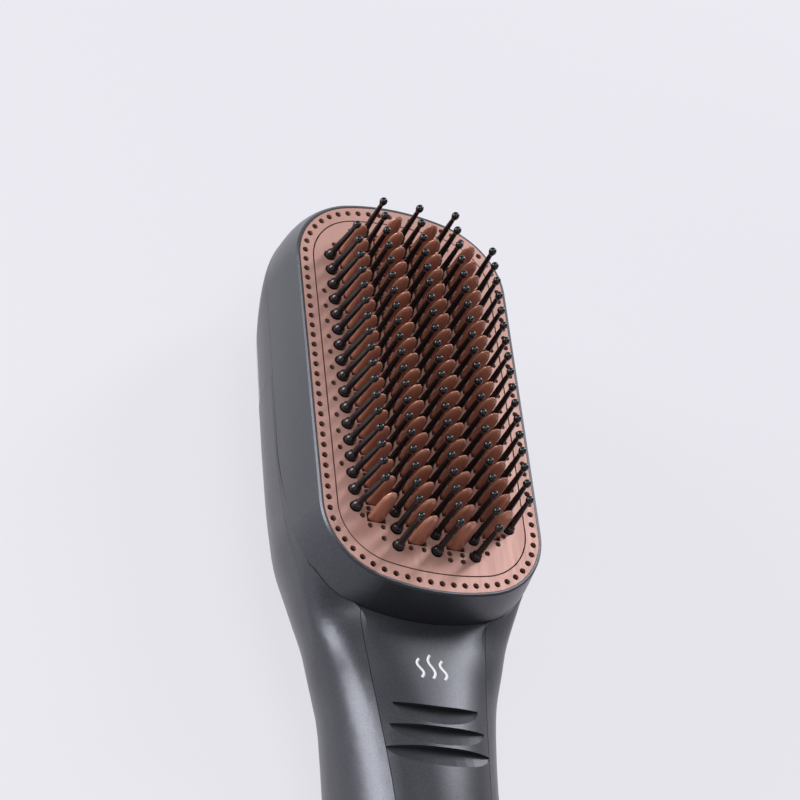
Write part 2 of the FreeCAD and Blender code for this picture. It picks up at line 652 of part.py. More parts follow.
def fin_sketch(body, name, row):
    """Fin seen along the brush: two straight flanks and a round tip, bound to the sheet."""
    sketch = new_sketch(body, name, f"-({row})", "XZ_Plane")
    half = COLUMN_PITCH / 2 - size("strip_width") / 2 - size("fin_gap")
    radius = half - size("fin_taper")
    root, top = TRAY_TOP + 1, PLATE_TOP + size("fin_height")
    centre = top - radius
    round_tip = Part.Circle(Vector(0, centre, 0), Vector(0, 0, 1), radius)
    sketch.addGeometry([
        Part.LineSegment(Vector(-half, root, 0), Vector(half, root, 0)),
        Part.LineSegment(Vector(half, root, 0), Vector(half, PLATE_TOP, 0)),
        Part.LineSegment(Vector(half, PLATE_TOP, 0), Vector(radius, centre, 0)),
        Part.ArcOfCircle(round_tip, 0, math.pi),
        Part.LineSegment(Vector(-radius, centre, 0), Vector(-half, PLATE_TOP, 0)),
        Part.LineSegment(Vector(-half, PLATE_TOP, 0), Vector(-half, root, 0)),
    ], False)
    for index in range(6):
        sketch.addConstraint(Sketcher.Constraint("Coincident", index, 2, (index + 1) % 6, 1))
    sketch.addConstraint(Sketcher.Constraint("Vertical", 1))
    sketch.addConstraint(Sketcher.Constraint("Vertical", 5))
    sketch.addConstraint(Sketcher.Constraint("Symmetric", 0, 1, 0, 2, -2))
    sketch.addConstraint(Sketcher.Constraint("Horizontal", 1, 2, 4, 2))
    sketch.addConstraint(Sketcher.Constraint("PointOnObject", 3, 3, -2))
    sketch.addConstraint(Sketcher.Constraint("Horizontal", 3, 1, 3, 3))
    sketch.addConstraint(Sketcher.Constraint("Horizontal", 3, 2, 3, 3))
    bind(sketch, "width", Sketcher.Constraint("DistanceX", 0, 1, 0, 2, 2 * half), E_FIN_WIDTH)
    bind(sketch, "root", Sketcher.Constraint("DistanceY", -1, 1, 0, 1, root), f"{E_TRAY_TOP} + 1")
    bind(sketch, "plate", Sketcher.Constraint("DistanceY", -1, 1, 1, 2, PLATE_TOP), "sizes.plate_height")
    bind(sketch, "tip", Sketcher.Constraint("Radius", 3, radius), E_FIN_TIP)
    bind(sketch, "top", Sketcher.Constraint("DistanceY", -1, 1, 3, 3, centre),
         f"sizes.plate_height + sizes.fin_height - {E_FIN_TIP}")
    return sketch


# Skins: one smooth body from the head's tip to the end of the handle -----------------------------
Station = namedtuple("Station", "y half widest seam_half top bottom bulge low_bulge deck")

NECK_TABLE = (
    # past the plate's edge in neck lengths; share of the head's width; how far the widest level
    # lies below the top; top below the handle's front (None: follows the parting line);
    # bottom above the table; bulge of the front; share of the front cover's neck width
    (-0.475, 0.978, 2.5, None, -2.0, 2.9, 1.00),
    (-0.300, 0.960, 4.7, None, -0.5, 2.9, 1.00),
    (-0.180, 0.840, 6.2, None, 2.0, 2.9, 1.00),
    (-0.087, 0.710, 7.7, None, 4.0, 2.9, 1.00),
    (0.007, 0.530, 10.0, 3.6, 5.5, 2.9, 1.00),
    (0.113, 0.360, 14.4, 2.9, 6.0, 2.9, 1.00),
    (0.266, 0.140, 18.0, 1.8, 4.5, 2.6, 0.76),
    (0.430, 0.050, 22.0, 0.6, 2.0, 2.4, 0.52),
    (0.642, 0.010, 25.2, 0.0, 0.3, 2.3, 0.28),
    (1.000, 0.000, 26.2, 0.0, -0.5, 2.3, 0.12),
)
SECTIONS = 28
LOW_BULGE = 2.15
DOME_BULGE = 1.25
SEAM_STEP = 0.04
DECK_EXTRA = 0.4
SCOOPS, SCOOP_STEPS = 3, 7
DECK_CURVE = 2.5
UPPER_STEPS, LOWER_STEPS, TOP_STEPS = 4, 9, 6


def parting(y):
    """Level of the parting line, which climbs from mid head to the neck."""
    start, stop = -HALF_LENGTH + size("parting_start"), -HALF_LENGTH + size("parting_stop")
    share = min(max((start - y) / (start - stop), 0.0), 1.0)
    share = share * share * (3 - 2 * share)
    return PLATE_TOP - size("parting_mid") - share * (size("parting_end") - size("parting_mid"))


def flare_share(depth):
    """Share of the side wall's flare that is reached at a depth below the plate."""
    return math.sin(math.pi / 2 * min(max(depth / size("flare_depth"), 0.0), 1.0))


def flare(depth):
    """Offset of the side wall from the ring's outline at a depth below the plate."""
    return size("lip") + size("flare") * flare_share(depth)


def tip_numbers(depth, offset=0.0):
    """Outline of the side wall towards the tip, where it reaches further and is rounder."""
    share = flare_share(depth)
    half_width, half_length, corner, end = outline_numbers("rim", flare(depth) + offset)
    half_width -= share * size("tip_narrow")
    corner = min(corner + share * size("tip_round"), half_width - 1)
    return half_width, half_length + share * size("tip_reach"), corner, end


def side_half(y):
    """Half width of the head where its flare ends; it narrows evenly from neck to tip."""
    depth = size("flare_depth")
    low = -corner_centre(*outline_numbers("rim", flare(depth)))[1]
    high = corner_centre(*tip_numbers(depth))[1]
    return HEAD_HALF - size("tip_narrow") * (y - low) / (high - low)


HEAD_STEPS = 10


def bulged(share, power):
    """Height of a superellipse of unit size at a share of its width."""
    return (1 - share ** power) ** (1 / power)


def head_end(inset):
    """Solid of the head beyond the tank's start, domed in both directions."""
    level = parting(HALF_LENGTH)
    widest, floor, seam = level - 1.9, -size("rear_sink") + inset, level + DECK_EXTRA - inset
    half, tip, corner, end = tip_numbers(PLATE_TOP - level, -inset)
    tail = (side_half(split_place()) - inset) / half
    dome = tip + inset - size("tank_start") - size("dome_foot")
    wide, base = min(widest, seam - 1), inset - 0.6
    rows = [(seam, half - 0.05, tip), (wide, half, tip)]
    last = math.asin(((wide - base) / (wide - floor)) ** (LOW_BULGE / 2))
    for step in range(1, HEAD_STEPS + 1):
        turn = last * step / HEAD_STEPS
        share = math.sin(turn) ** (2 / LOW_BULGE)
        rows.append((wide - (wide - floor) * share, half * math.cos(turn) ** (2 / LOW_BULGE),
                     tip - dome * (1 - bulged(share, DOME_BULGE))))
    wires = [outline_wire((width, length, corner * width / half, end), z, (tail * width, split_place()))
             for z, width, length in rows]
    return Part.makeLoft(wires, True, False)


def split_place():
    """Where the head's end and the long skin meet."""
    return size("tank_start") - size("slide_gap")


def smooth_value(places, values, place):
    """Smooth value at a place, with no overshoot between the given ones."""
    steps = [(b - a) / (q - p) for a, b, p, q in zip(values, values[1:], places, places[1:])]
    slopes = [steps[0]]
    for left, right in zip(steps, steps[1:]):
        slopes.append(2 * left * right / (left + right) if left * right > 0 else 0.0)
    slopes.append(steps[-1])
    index = 0
    while index < len(places) - 2 and place < places[index + 1]:
        index += 1
    width = places[index + 1] - places[index]
    t = (place - places[index]) / width
    return ((1 + 2 * t) * (1 - t) ** 2 * values[index] + t * (1 - t) ** 2 * width * slopes[index]
            + t * t * (3 - 2 * t) * values[index + 1] + t * t * (t - 1) * width * slopes[index + 1])


def body_table():
    """Places along the body and the numbers of its cross section at each."""
    level = parting(HALF_LENGTH)
    places = [split_place(), 0.0]
    rows = [(side_half(y), level - 1.9, level, -size("rear_sink"), 2.9, LOW_BULGE, cover_width(1))
            for y in places]
    for along, share, drop, below, bottom, bulge, cover in NECK_TABLE:
        y = -HALF_LENGTH - along * size("neck_length")
        top = parting(y) if below is None else HANDLE_TOP - below
        places.append(y)
        rows.append((HANDLE_HALF + share * (HEAD_HALF - HANDLE_HALF), top - drop, top, bottom, bulge,
                     LOW_BULGE, cover_width(cover)))
    level, radius = size("handle_end_level"), size("handle_end_radius")
    places += [(places[-1] + HANDLE_END) / 2, HANDLE_END]
    rows.append((HANDLE_HALF - 0.6, level - 2, HANDLE_TOP - 0.3, 1.5, 2.25, 2.1, cover_width(0.05)))
    rows.append((radius, level, level + radius, level - radius, 2.0, 2.0, cover_width(0)))
    return places, list(zip(*rows))


def stations(inset=0.0):
    """Evenly spaced cross sections of the long skin, set in by a wall."""
    places, columns = body_table()
    rows = []
    for index in range(SECTIONS + 1):
        y = split_place() + (HANDLE_END - split_place()) * index / SECTIONS
        half, widest, top, bottom, bulge, low_bulge, cover = [smooth_value(places, column, y)
                                                              for column in columns]
        deck = y > -HALF_LENGTH - 4
        if deck:
            top = parting(y) + DECK_EXTRA
            edge = min(outline_half(y, flare(PLATE_TOP - parting(y))), side_half(y))
            cover = max(min(edge, half - 0.06) - inset, cover)
        half += SEAM_STEP - inset
        top -= inset
        rows.append(Station(y, half, min(widest, top - 1), min(cover, half - 0.05 if deck else half - 1), top,
                            bottom + inset, bulge, low_bulge, deck))
    if inset:
        rows[-1] = rows[-1]._replace(y=HANDLE_END - 0.5)
    return rows


def cover_width(share):
    return size("cover_end_half") + share * (size("cover_neck_half") - size("cover_end_half"))


def section_points(station):
    """Points over the top and round the bottom of a cross section."""
    half, bottom = station.half, station.bottom
    seam_half = station.seam_half
    upper, top = [], []
    if station.deck:
        for step in range(UPPER_STEPS):
            share = 1 - step / UPPER_STEPS
            upper.append((half - (half - seam_half) * share ** DECK_CURVE,
                          station.widest + (station.top - station.widest) * share))
        for step in range(TOP_STEPS + 1):
            top.append((seam_half * (2 * step / TOP_STEPS - 1), station.top))
    else:
        power, rise = station.bulge, station.top - station.widest
        start = math.acos((seam_half / half) ** (power / 2))
        for step in range(UPPER_STEPS):
            turn = start * (1 - step / UPPER_STEPS)
            upper.append((half * math.cos(turn) ** (2 / power),
                          station.widest + rise * math.sin(turn) ** (2 / power)))
        for step in range(TOP_STEPS + 1):
            x = seam_half * (2 * step / TOP_STEPS - 1)
            top.append((x, station.widest + rise * (1 - (abs(x) / half) ** power) ** (1 / power)))
    lower = []
    for step in range(LOWER_STEPS + 1):
        turn = math.pi / 2 * step / LOWER_STEPS
        lower.append((half * math.cos(turn) ** (2 / station.low_bulge),
                      station.widest - (station.widest - bottom) * math.sin(turn) ** (2 / station.low_bulge)))
    side = upper + lower
    loop = side + [(-x, z) for x, z in reversed(side[:-1])]
    return top, loop


def mean_parameters(curves):
    """Common parameters for curves of equal point count, from their mean chord lengths."""
    total = [0.0] * len(curves[0])
    for curve in curves:
        run, marks = 0.0, [0.0]
        for start, stop in zip(curve, curve[1:]):
            run += math.dist(start, stop)
            marks.append(run)
        total = [mark + value / run for mark, value in zip(total, marks)]
    return [mark / len(curves) for mark in total]


def skin_loft(inset):
    """Smooth solid through all cross sections."""
    rows = stations(inset)
    pairs = [section_points(row) for row in rows]
    top_marks = mean_parameters([pair[0] for pair in pairs])
    loop_marks = mean_parameters([pair[1] for pair in pairs])
    wires = []
    for row, (top, loop) in zip(rows, pairs):
        edges = []
        for points, marks in ((top, top_marks), (loop, loop_marks)):
            curve = Part.BSplineCurve()
            curve.interpolate(Points=[Vector(x, row.y, z) for x, z in points], Parameters=marks)
            edges.append(curve.toShape())
        wires.append(Part.Wire(edges))
    return Part.makeLoft(wires, True, False)


def block(x, y, z):
    """Box from three pairs of limits."""
    return Part.makeBox(x[1] - x[0], y[1] - y[0], z[1] - z[0], Vector(x[0], y[0], z[0]))


WIDE = 80.0


def skin(inset, floor):
    """The whole body as a solid, set in by a wall and flat at the bottom."""
    whole = skin_loft(inset).fuse(head_end(inset))
    return whole.cut(block((-WIDE, WIDE), (HANDLE_END - 40, HALF_LENGTH + 60), (-20, floor)))


def above_parting(lift):
    """Everything above the parting line, which is lifted by a little."""
    start, stop = HALF_LENGTH + 40, -HALF_LENGTH - 30
    steps = 24
    line = []
    for step in range(steps + 1):
        y = start + (stop - start) * step / steps
        line.append(Vector(-WIDE, y, parting(y) + lift))
    curve = Part.BSplineCurve()
    curve.interpolate(line)
    corners = [line[-1], Vector(-WIDE, stop, PLATE_TOP + 40), Vector(-WIDE, start, PLATE_TOP + 40), line[0]]
    edges = [curve.toShape()] + [Part.LineSegment(*pair).toShape() for pair in zip(corners, corners[1:])]
    return Part.Face(Part.Wire(edges)).extrude(Vector(2 * WIDE, 0, 0))


def wall_block(offset):
    """Solid inside the flared side wall, grown by an offset."""
    wires = []
    for depth in (0, 7, 14, 21, 27):
        neck = outline_numbers("rim", flare(depth) + offset)
        wires.append(outline_wire(tip_numbers(depth, offset), PLATE_TOP - depth, None, neck))
    return Part.makeLoft(wires, True, False)


def round_post(x, y, radius, low, high):
    return Part.makeCylinder(radius, high - low, Vector(x, y, low))


def along_tube(x, y_low, y_high, level, radius, bore=0.0):
    """Cylinder along Y, with a bore if one is given."""
    axis = Vector(0, 1, 0)
    solid = Part.makeCylinder(radius, y_high - y_low, Vector(x, y_low, level), axis)
    if bore:
        solid = solid.cut(Part.makeCylinder(bore, y_high - y_low, Vector(x, y_low, level), axis))
    return solid


def hook_places():
    """Places along the head's sides where the front housing hooks under the rear shell's ledge."""
    return [share * HALF_LENGTH for share in (-0.28, 0.08, 0.44)]


def handle_screw_places():
    return [(0.0, -HALF_LENGTH - size("controls_start") + 14.5), (0.0, HANDLE_END + 28.0)]


def board_screw_places():
    top, bottom = board_ends()
    x = size("board_width") / 2 - 3.5
    return [(side * x, y) for side in (-1, 1) for y in (top - 4, bottom + 4)]


def board_ends():
    top = -HALF_LENGTH - size("controls_start")
    return top, top - size("board_length")


def button_place(index):
    return board_ends()[0] - 24.6 - index * size("button_pitch")


def lens_place():
    return board_ends()[0] - 10.7


SCREW_RADIUS = size("screw_core") / 2
THREAD_RADIUS = SCREW_RADIUS + size("screw_gap")
FREE_RADIUS = SCREW_RADIUS + size("fit_gap")
HEAD_RADIUS = size("screw_head") / 2
SPIGOT = size("spigot") / 2
PLUG = size("plug") / 2
PLUG_X = HEAD_HALF - size("plug_inset")
BULKHEAD = 1.7
SOCKET_LENGTH = 14.0
SOCKET_FLANGE = 8.0
HOSE_SLACK = 0.1
GUIDE_X = HEAD_HALF - size("guide_inset")
BARB = size("barb") / 2
HOSE = size("hose_outer") / 2


def lip_chamfer():
    """Solid with slanting sides that breaks the lip's outer edge."""
    offset, drop = size("lip") - size("edge_break"), 2 * size("edge_break")
    upper = outline_wire(outline_numbers("rim", offset), PLATE_TOP)
    lower = outline_wire(outline_numbers("rim", offset + drop), PLATE_TOP - drop)
    cone = Part.makeLoft([upper, lower], True, True)
    return cone.fuse(block((-WIDE, WIDE), (-2 * WIDE, 2 * WIDE), (0, PLATE_TOP - drop)))


def make_front_housing():
    """Lip and side wall round the plate, with hooks below and the beads that hold the pan."""
    wall = size("wall")
    body = wall_block(0).common(above_parting(0))
    clearance = size("rim_clearance")
    seat = outline_prism("rim", clearance, SHEET_UNDER - 20, PLATE_TOP + 1)
    groove = outline_prism("rim", size("flange_reach") + clearance, FLANGE_UNDER - clearance,
                           FLANGE_TOP + clearance)
    hollow = wall_block(-wall).multiFuse([seat, groove])
    edge = HALF_WIDTH + clearance
    beads = []
    for y in (-HALF_LENGTH * 0.28, HALF_LENGTH * 0.3, HALF_LENGTH * 0.55):
        for side in (-1, 1):
            limits = sorted((side * edge, side * (HEAD_HALF - 1)))
            beads.append(block(limits, (y - 3, y + 3), (FLANGE_UNDER - 1.2, FLANGE_UNDER)))
    shell = body.cut(hollow).fuse(beads[0].multiFuse(beads[1:]).common(body)).common(lip_chamfer())
    ledge = HALF_WIDTH - size("ledge_reach") - size("fit_gap")
    hooks = []
    for y in hook_places():
        under = parting(y + 4) + DECK_EXTRA - wall - size("fit_gap")
        for side in (-1, 1):
            arm = sorted((side * (ledge - 1.4), side * ledge))
            foot = sorted((side * (ledge - 1.4), side * (ledge + 0.9)))
            root = sorted((side * (ledge - 1.4), side * (HEAD_HALF - 1)))
            hooks.append(block(arm, (y - 4, y + 4), (under - 2, FLANGE_UNDER - 2.4)))
            hooks.append(block(foot, (y - 4, y + 4), (under - 2, under)))
            heights = (parting(y - 4) + 1.6, FLANGE_UNDER - 2.4)
            hooks.append(block(root, (y - 4, y + 4), heights).common(body))
    return register(feature("housing_front", shell.multiFuse(hooks).removeSplitter()), "front_housing")


def cover_prism(trim):
    """Plan of the handle's front cover between its two side seams."""
    rows = [row for row in stations() if not row.deck]
    start = Vector(size("cover_neck_half") + 0.7 - trim, -HALF_LENGTH - 1, 30)
    right = [start] + [Vector(row.seam_half - trim, row.y, 30) for row in rows[1:]]
    right.append(Vector(right[-1].x, HANDLE_END - 5, 30))
    left = [Vector(-point.x, point.y, 30) for point in right]
    curves = []
    for points in (right, left):
        curve = Part.BSplineCurve()
        curve.interpolate(points)
        curves.append(curve.toShape())
    top_left, top_right = left[0] + Vector(0, 4, 0), right[0] + Vector(0, 4, 0)
    runs = [(right[-1], left[-1]), (left[0], top_left), (top_left, top_right), (top_right, right[0])]
    edges = curves + [Part.LineSegment(*run).toShape() for run in runs]
    face = Part.Face(Part.Wire(Part.__sortEdges__(edges)))
    return face.extrude(Vector(0, 0, 40))


def front_level(x, y):
    """Level of the handle's front at a place."""
    places, columns = body_table()
    half, widest, top, _, bulge, _, _ = [smooth_value(places, column, y) for column in columns]
    return widest + (top - widest) * bulged(abs(x) / half, bulge)


def scoop_cutters():
    """Three finger scoops: a steep lip towards the head, a gentle slope away from it, round ends."""
    cutters = []
    for index in range(SCOOPS):
        lip = -HALF_LENGTH - size("scoop_first") - index * size("scoop_pitch")
        half = (size("scoop_width") + index * size("scoop_growth")) / 2
        sections = []
        for step in range(-SCOOP_STEPS, SCOOP_STEPS + 1):
            turn = math.pi / 2 * step / (SCOOP_STEPS + 0.4)
            x, share = half * math.sin(turn), math.cos(turn)
            y = lip + size("scoop_sag") * (x / half) ** 2
            level, length = front_level(x, y), size("scoop_length") * share
            corners = [Vector(x, y, level - size("scoop_depth") * share), Vector(x, y, level + 3),
                       Vector(x, y - length, level + 3), Vector(x, y - length, level + 0.05)]
            sections.append(Part.makePolygon(corners + corners[:1]))
        cutters.append(Part.makeLoft(sections, True, True))
    return cutters


def make_shells():
    """Rear shell and handle cover, cut from one hollow skin."""
    gap, wall = size("parting_gap"), size("wall")
    outer, inner = skin(0, 0), skin(wall, wall)
    seat = wall_block(gap).common(above_parting(-gap))
    opening = outline_prism("rim", -size("ledge_reach"), 30, PLATE_TOP + 5)
    shell = outer.cut([inner, seat, opening])
    make_rear_shell(outer, shell, seat)
    make_cover(outer, shell, seat)
    make_tank(outer)


def make_rear_shell(outer, shell, seat):
    """Back of the head and handle in one, with the tank bay, posts and cradles."""
    wall, slide_gap = size("wall"), size("slide_gap")
    bay, roof = size("tank_start") - slide_gap, size("tank_roof") + slide_gap
    tip = HALF_LENGTH + 20
    body = shell.cut(block((-WIDE, WIDE), (bay, tip), (-5, roof)))
    web = block((-WIDE, WIDE), (bay - BULKHEAD, tip), (roof, roof + BULKHEAD))
    bulkhead = block((-WIDE, WIDE), (bay - BULKHEAD, bay), (0, roof + BULKHEAD))
    level = WATER_LEVEL
    cradle_y = sum(pump_ends()) / 2
    cradle = block((-7, 7), (cradle_y - 5, cradle_y + 5), (0, level - 4))
    cradle = cradle.cut(along_tube(0, cradle_y - 6, cradle_y + 6, level, size("pump_diameter") / 2
                                   + size("running_gap")))
    boiler_y = boiler_front() - size("boiler_length") / 2
    stand = block((-7, 7), (boiler_y - 5, boiler_y + 5), (0, BOILER_FLOOR))
    thick = 2.6 * SCREW_RADIUS + 1
    posts = [round_post(x, y, thick, 0, 30) for x, y in handle_screw_places()]
    inside = [web, bulkhead, cradle, stand] + posts
    added = inside[0].multiFuse(inside[1:]).common(outer).cut(seat)
    guide = size("guide_level")
    pins = [along_tube(side * GUIDE_X, bay - 1, bay + size("guide_length"), guide, size("guide_pin") / 2)
            for side in (-1, 1)]
    body = body.cut(cover_prism(-size("parting_gap"))).multiFuse([added] + pins)
    cuts = [along_tube(0, bay - 3, bay + 1, level, SPIGOT + 0.7),
            along_tube(PLUG_X, bay - 3, bay + 1, level, PLUG + 2.3)]
    for x, y in handle_screw_places():
        cuts += [round_post(x, y, HEAD_RADIUS + 0.2, -5, 12), round_post(x, y, FREE_RADIUS, 10, 60)]
    return register(feature("shell_rear", body.cut(cuts).removeSplitter()), "rear_shell")


def make_cover(outer, shell, seat):
    """Front cover of the handle: scoops, button holes, lens window and bosses."""
    region = cover_prism(0)
    body = shell.common(region)
    lip = -HALF_LENGTH - size("scoop_first")
    backing = block((-14, 14), (lip - 2.6 * size("scoop_pitch") - 3, lip + 3),
                    (HANDLE_TOP - 7, PLATE_TOP))
    bosses = [round_post(x, y, 3.2, 30.3, PLATE_TOP) for x, y in handle_screw_places()]
    bosses += [round_post(x, y, 2.4, BOARD_TOP, PLATE_TOP) for x, y in board_screw_places()]
    added = backing.multiFuse(bosses).common(outer).common(region).cut(seat)
    hole = size("button") / 2 + size("button_gap")
    cuts = scoop_cutters()
    cuts += [round_post(0, button_place(index), hole, 40, 70) for index in range(3)]
    cuts.append(block((-7.1, 7.1), (lens_place() - 2.6, lens_place() + 2.6), (40, 70)))
    cuts += [round_post(x, y, THREAD_RADIUS, 25, 41) for x, y in handle_screw_places()]
    cuts += [round_post(x, y, THREAD_RADIUS, BOARD_TOP - 1, BOARD_TOP + 6.4) for x, y in board_screw_places()]
    return register(feature("cover_front", body.fuse(added).cut(cuts).removeSplitter()), "handle_cover")


# Water side ------------------------------------------------------------------------------------
def socket_end():
    """Face of the bulkhead that the valve socket sits on."""
    return size("tank_start") - size("slide_gap") - BULKHEAD


def pump_ends():
    high = socket_end() - SOCKET_LENGTH - 2 * size("barb_length") - HOSE_SLACK
    return high - size("pump_length"), high


def boiler_front():
    return -HALF_LENGTH - 8.6


def make_tank(outer):
    """Water tank in the back of the head; it slides off towards the tip on two pins."""
    start, roof, wall = size("tank_start"), size("tank_roof"), size("tank_wall")
    level, running = WATER_LEVEL, size("running_gap")
    tip, clear = HALF_LENGTH + 20, 0.8
    body = outer.common(block((-WIDE, WIDE), (start, tip), (clear, roof)))
    room = skin(wall, wall + clear).common(block((-WIDE, WIDE), (start + wall, tip), (0, roof - wall)))
    body = body.cut(room)
    reach = start + size("guide_length")
    pin = size("guide_pin") / 2
    guide = size("guide_level")
    sleeves = [along_tube(side * GUIDE_X, start, reach + 2, guide, pin + 1.6) for side in (-1, 1)]
    bores = [along_tube(side * GUIDE_X, start - 1, reach + 0.3, guide, pin + running) for side in (-1, 1)]
    holes = [along_tube(0, start - 1, start + wall + 1, level, SPIGOT + 1),
             along_tube(PLUG_X, start - 1, start + wall + 1, level, PLUG + running)]
    body = body.multiFuse(sleeves).cut(bores + holes)
    register(feature("tank_body", body.removeSplitter()), "water_tank")
    valve = along_tube(0, start, start + wall + 3, level, SPIGOT + 1, 1.2)
    valve = valve.fuse(along_tube(0, start - 11, start, level, SPIGOT, 1.2))
    register(feature("valve", valve.removeSplitter()), "tank_valve")
    plug = along_tube(PLUG_X, start, start + wall + 1.5, level, PLUG)
    plug = plug.fuse(along_tube(PLUG_X, start - 1.6, start, level, PLUG + 1.5))
    tab = block((PLUG_X - 0.9, PLUG_X + 0.9), (start - 4.5, start - 1.6), (level - 3, level + 3))
    register(feature("plug", plug.fuse(tab).removeSplitter()), "filler_plug")
    face, bore = socket_end(), SPIGOT + running
    tail = face - SOCKET_LENGTH
    socket = along_tube(0, face - 1.5, face, level, SOCKET_FLANGE, bore)
    socket = socket.fuse(along_tube(0, face - 12, face - 1.5, level, 6, bore))
    socket = socket.fuse(along_tube(0, tail, face - 12, level, 6, 1.2))
    socket = socket.fuse(along_tube(0, tail - size("barb_length"), tail, level, BARB, 1.2))
    groove = along_tube(0, face - 6, face - 4, level, 4.2, bore - 0.5)
    register(feature("socket", socket.cut(groove).removeSplitter()), "valve_socket")
    register(feature("seal", along_tube(0, face - 6, face - 4, level, 4.2, bore)), "valve_seal")
    pump_low, pump_high = pump_ends()
    pump = along_tube(0, pump_low, pump_high, level, size("pump_diameter") / 2)
    barb = size("barb_length")
    pump = pump.multiFuse([along_tube(0, pump_high, pump_high + barb, level, BARB),
                           along_tube(0, pump_low - barb, pump_low, level, BARB)])
    register(feature("pump_body", pump.removeSplitter()), "water_pump")
    register(feature("hose_in", along_tube(0, pump_high, tail, level, HOSE, BARB + 0.02)),
             "water_hose")
    register(feature("hose_out", along_tube(0, boiler_front(), pump_low, level, HOSE, BARB + 0.02)),
             "pump_hose")


def make_boiler():
    """Evaporator: water in below, steam out above."""
    front, floor = boiler_front(), BOILER_FLOOR
    half, length = size("boiler_width") / 2, size("boiler_length")
    body = block((-half, half), (front - length, front), (floor, floor + size("boiler_height")))
    body = body.makeFillet(3, body.Edges)
    spouts = [along_tube(0, front - 4, front + size("barb_length"), WATER_LEVEL, BARB),
              along_tube(0, front - 4, front + 5, STEAM_LEVEL, size("nozzle_outer") / 2)]
    register(feature("boiler", body.multiFuse(spouts).removeSplitter()), "evaporator")
    bend = size("hose_bend")
    nozzle_y = nozzle_place()
    corner = nozzle_y - bend
    run = Part.LineSegment(Vector(0, front, STEAM_LEVEL), Vector(0, corner, STEAM_LEVEL)).toShape()
    half_turn = bend * math.sqrt(0.5)
    middle = Vector(0, corner + half_turn, STEAM_LEVEL + bend - half_turn)
    turn = Part.Arc(Vector(0, corner, STEAM_LEVEL), middle, Vector(0, nozzle_y, STEAM_LEVEL + bend)).toShape()
    rise = Part.LineSegment(Vector(0, nozzle_y, STEAM_LEVEL + bend), Vector(0, nozzle_y, HOSE_TOP)).toShape()
    path = Part.Wire([run, turn, rise])
    tubes = []
    for ring in (HOSE, size("nozzle_outer") / 2 + 0.05):
        circle = Part.Wire(Part.makeCircle(ring, Vector(0, front, STEAM_LEVEL), Vector(0, 1, 0)))
        tubes.append(path.makePipeShell([circle], True, False))
    register(feature("hose_steam", tubes[0].cut(tubes[1])), "steam_hose")


def nozzle_place():
    return -HALF_LENGTH + size("ring_end") + size("pan_wall") / 2 + 2.4


def make_nozzle():
    """Brass nozzle from the hose up through pan and tray."""
    y, outer, bore = nozzle_place(), size("nozzle_outer") / 2, size("nozzle_bore") / 2
    low = STEAM_LEVEL + size("hose_bend") + 0.2
    tube = round_post(0, y, outer, low, TRAY_TOP).fuse(
        round_post(0, y, outer + 1.6, PAN_FLOOR - 1.5, PAN_FLOOR))
    tube = tube.cut(round_post(0, y, bore, low - 1, TRAY_TOP + 1))
    return register(feature("nozzle", tube), "steam_nozzle")


# Steam pan and heater --------------------------------------------------------------------------
E_NOZZLE_Y = "(-sizes.plate_length / 2 + sizes.ring_end + sizes.pan_wall / 2 + 2.4)"
POST_PLACES = [(f"{side} * ({X_RIM} - sizes.ring_side - sizes.pan_wall / 2 - sizes.post / 2 - 1.5)",
                f"{end} * ({Y_RIM} - 25.4)") for side in (-1, 1) for end in (-1, 1)]
E_PTC_LENGTH = f"(2 * ({Y_RIM} - sizes.ptc_end))"
E_CLAMP_WIDTH = (f"(2 * ({X_RIM} - sizes.ring_side - sizes.pan_wall / 2 - sizes.post - 1.5"
                 " - sizes.clamp_gap))")
E_PTC_WIDTH = f"(({E_CLAMP_WIDTH} - 2) / 3)"
CLAMP_PLACES = [("0", f"{end} * 0.35 * {E_PTC_LENGTH}") for end in (-1, 0, 1)]


def make_pan():
    """Steam pan: a tub under the plate with a flange that closes the ring's channel."""
    body = new_body("pan_body")
    floor = E_PAN_FLOOR
    flange_under = f"{E_SKIRT_END} - sizes.gasket - (sizes.pan_sheet - 0.2)"
    tub = outline_sketch(body, "pan_outer", "groove", "sizes.pan_wall / 2", floor)
    pad(body, tub, "pan_tub", f"{E_SHEET_UNDER} - sizes.gasket - {floor}")
    flange = outline_sketch(body, "pan_flange", "rim", "sizes.flange_reach", flange_under)
    pad(body, flange, "pan_collar", "sizes.pan_sheet - 0.2")
    room = outline_sketch(body, "pan_inner", "groove", "(-sizes.pan_wall / 2)", f"{floor} + sizes.pan_sheet")
    pocket(body, room, "pan_room")
    posts = circle_sketch(body, "pan_post_plan", floor, "sizes.post", POST_PLACES)
    pad(body, posts, "pan_posts", f"{E_TRAY_UNDER} - {floor}")
    holes = circle_sketch(body, "pan_drills", floor, "sizes.screw_core + 2 * sizes.fit_gap", POST_PLACES)
    pocket(body, holes, "pan_bores")
    nozzle = circle_sketch(body, "pan_nozzle", floor, "sizes.nozzle_outer + 0.1", [("0", E_NOZZLE_Y)])
    pocket(body, nozzle, "pan_nozzle_bore", "sizes.pan_sheet + 1")
    needle = circle_sketch(body, "pan_needle", flange_under, "2.7", [("0", f"{Y_RIM} - 2.5")])
    pocket(body, needle, "pan_needle_bore")
    doc.recompute()
    low = TRAY_TOP + 0.6
    slots = [block((-WIDE, WIDE), (y - 3, y + 3), (low, low + 3))
             for y in (-0.6 * HALF_LENGTH, -0.2 * HALF_LENGTH, 0.2 * HALF_LENGTH, 0.6 * HALF_LENGTH)]
    vents = feature("pan_slots", Part.makeCompound(slots))
    cut = doc.addObject("Part::Cut", "pan")
    cut.Base, cut.Tool = body, vents
    return register(cut, "steam_pan")


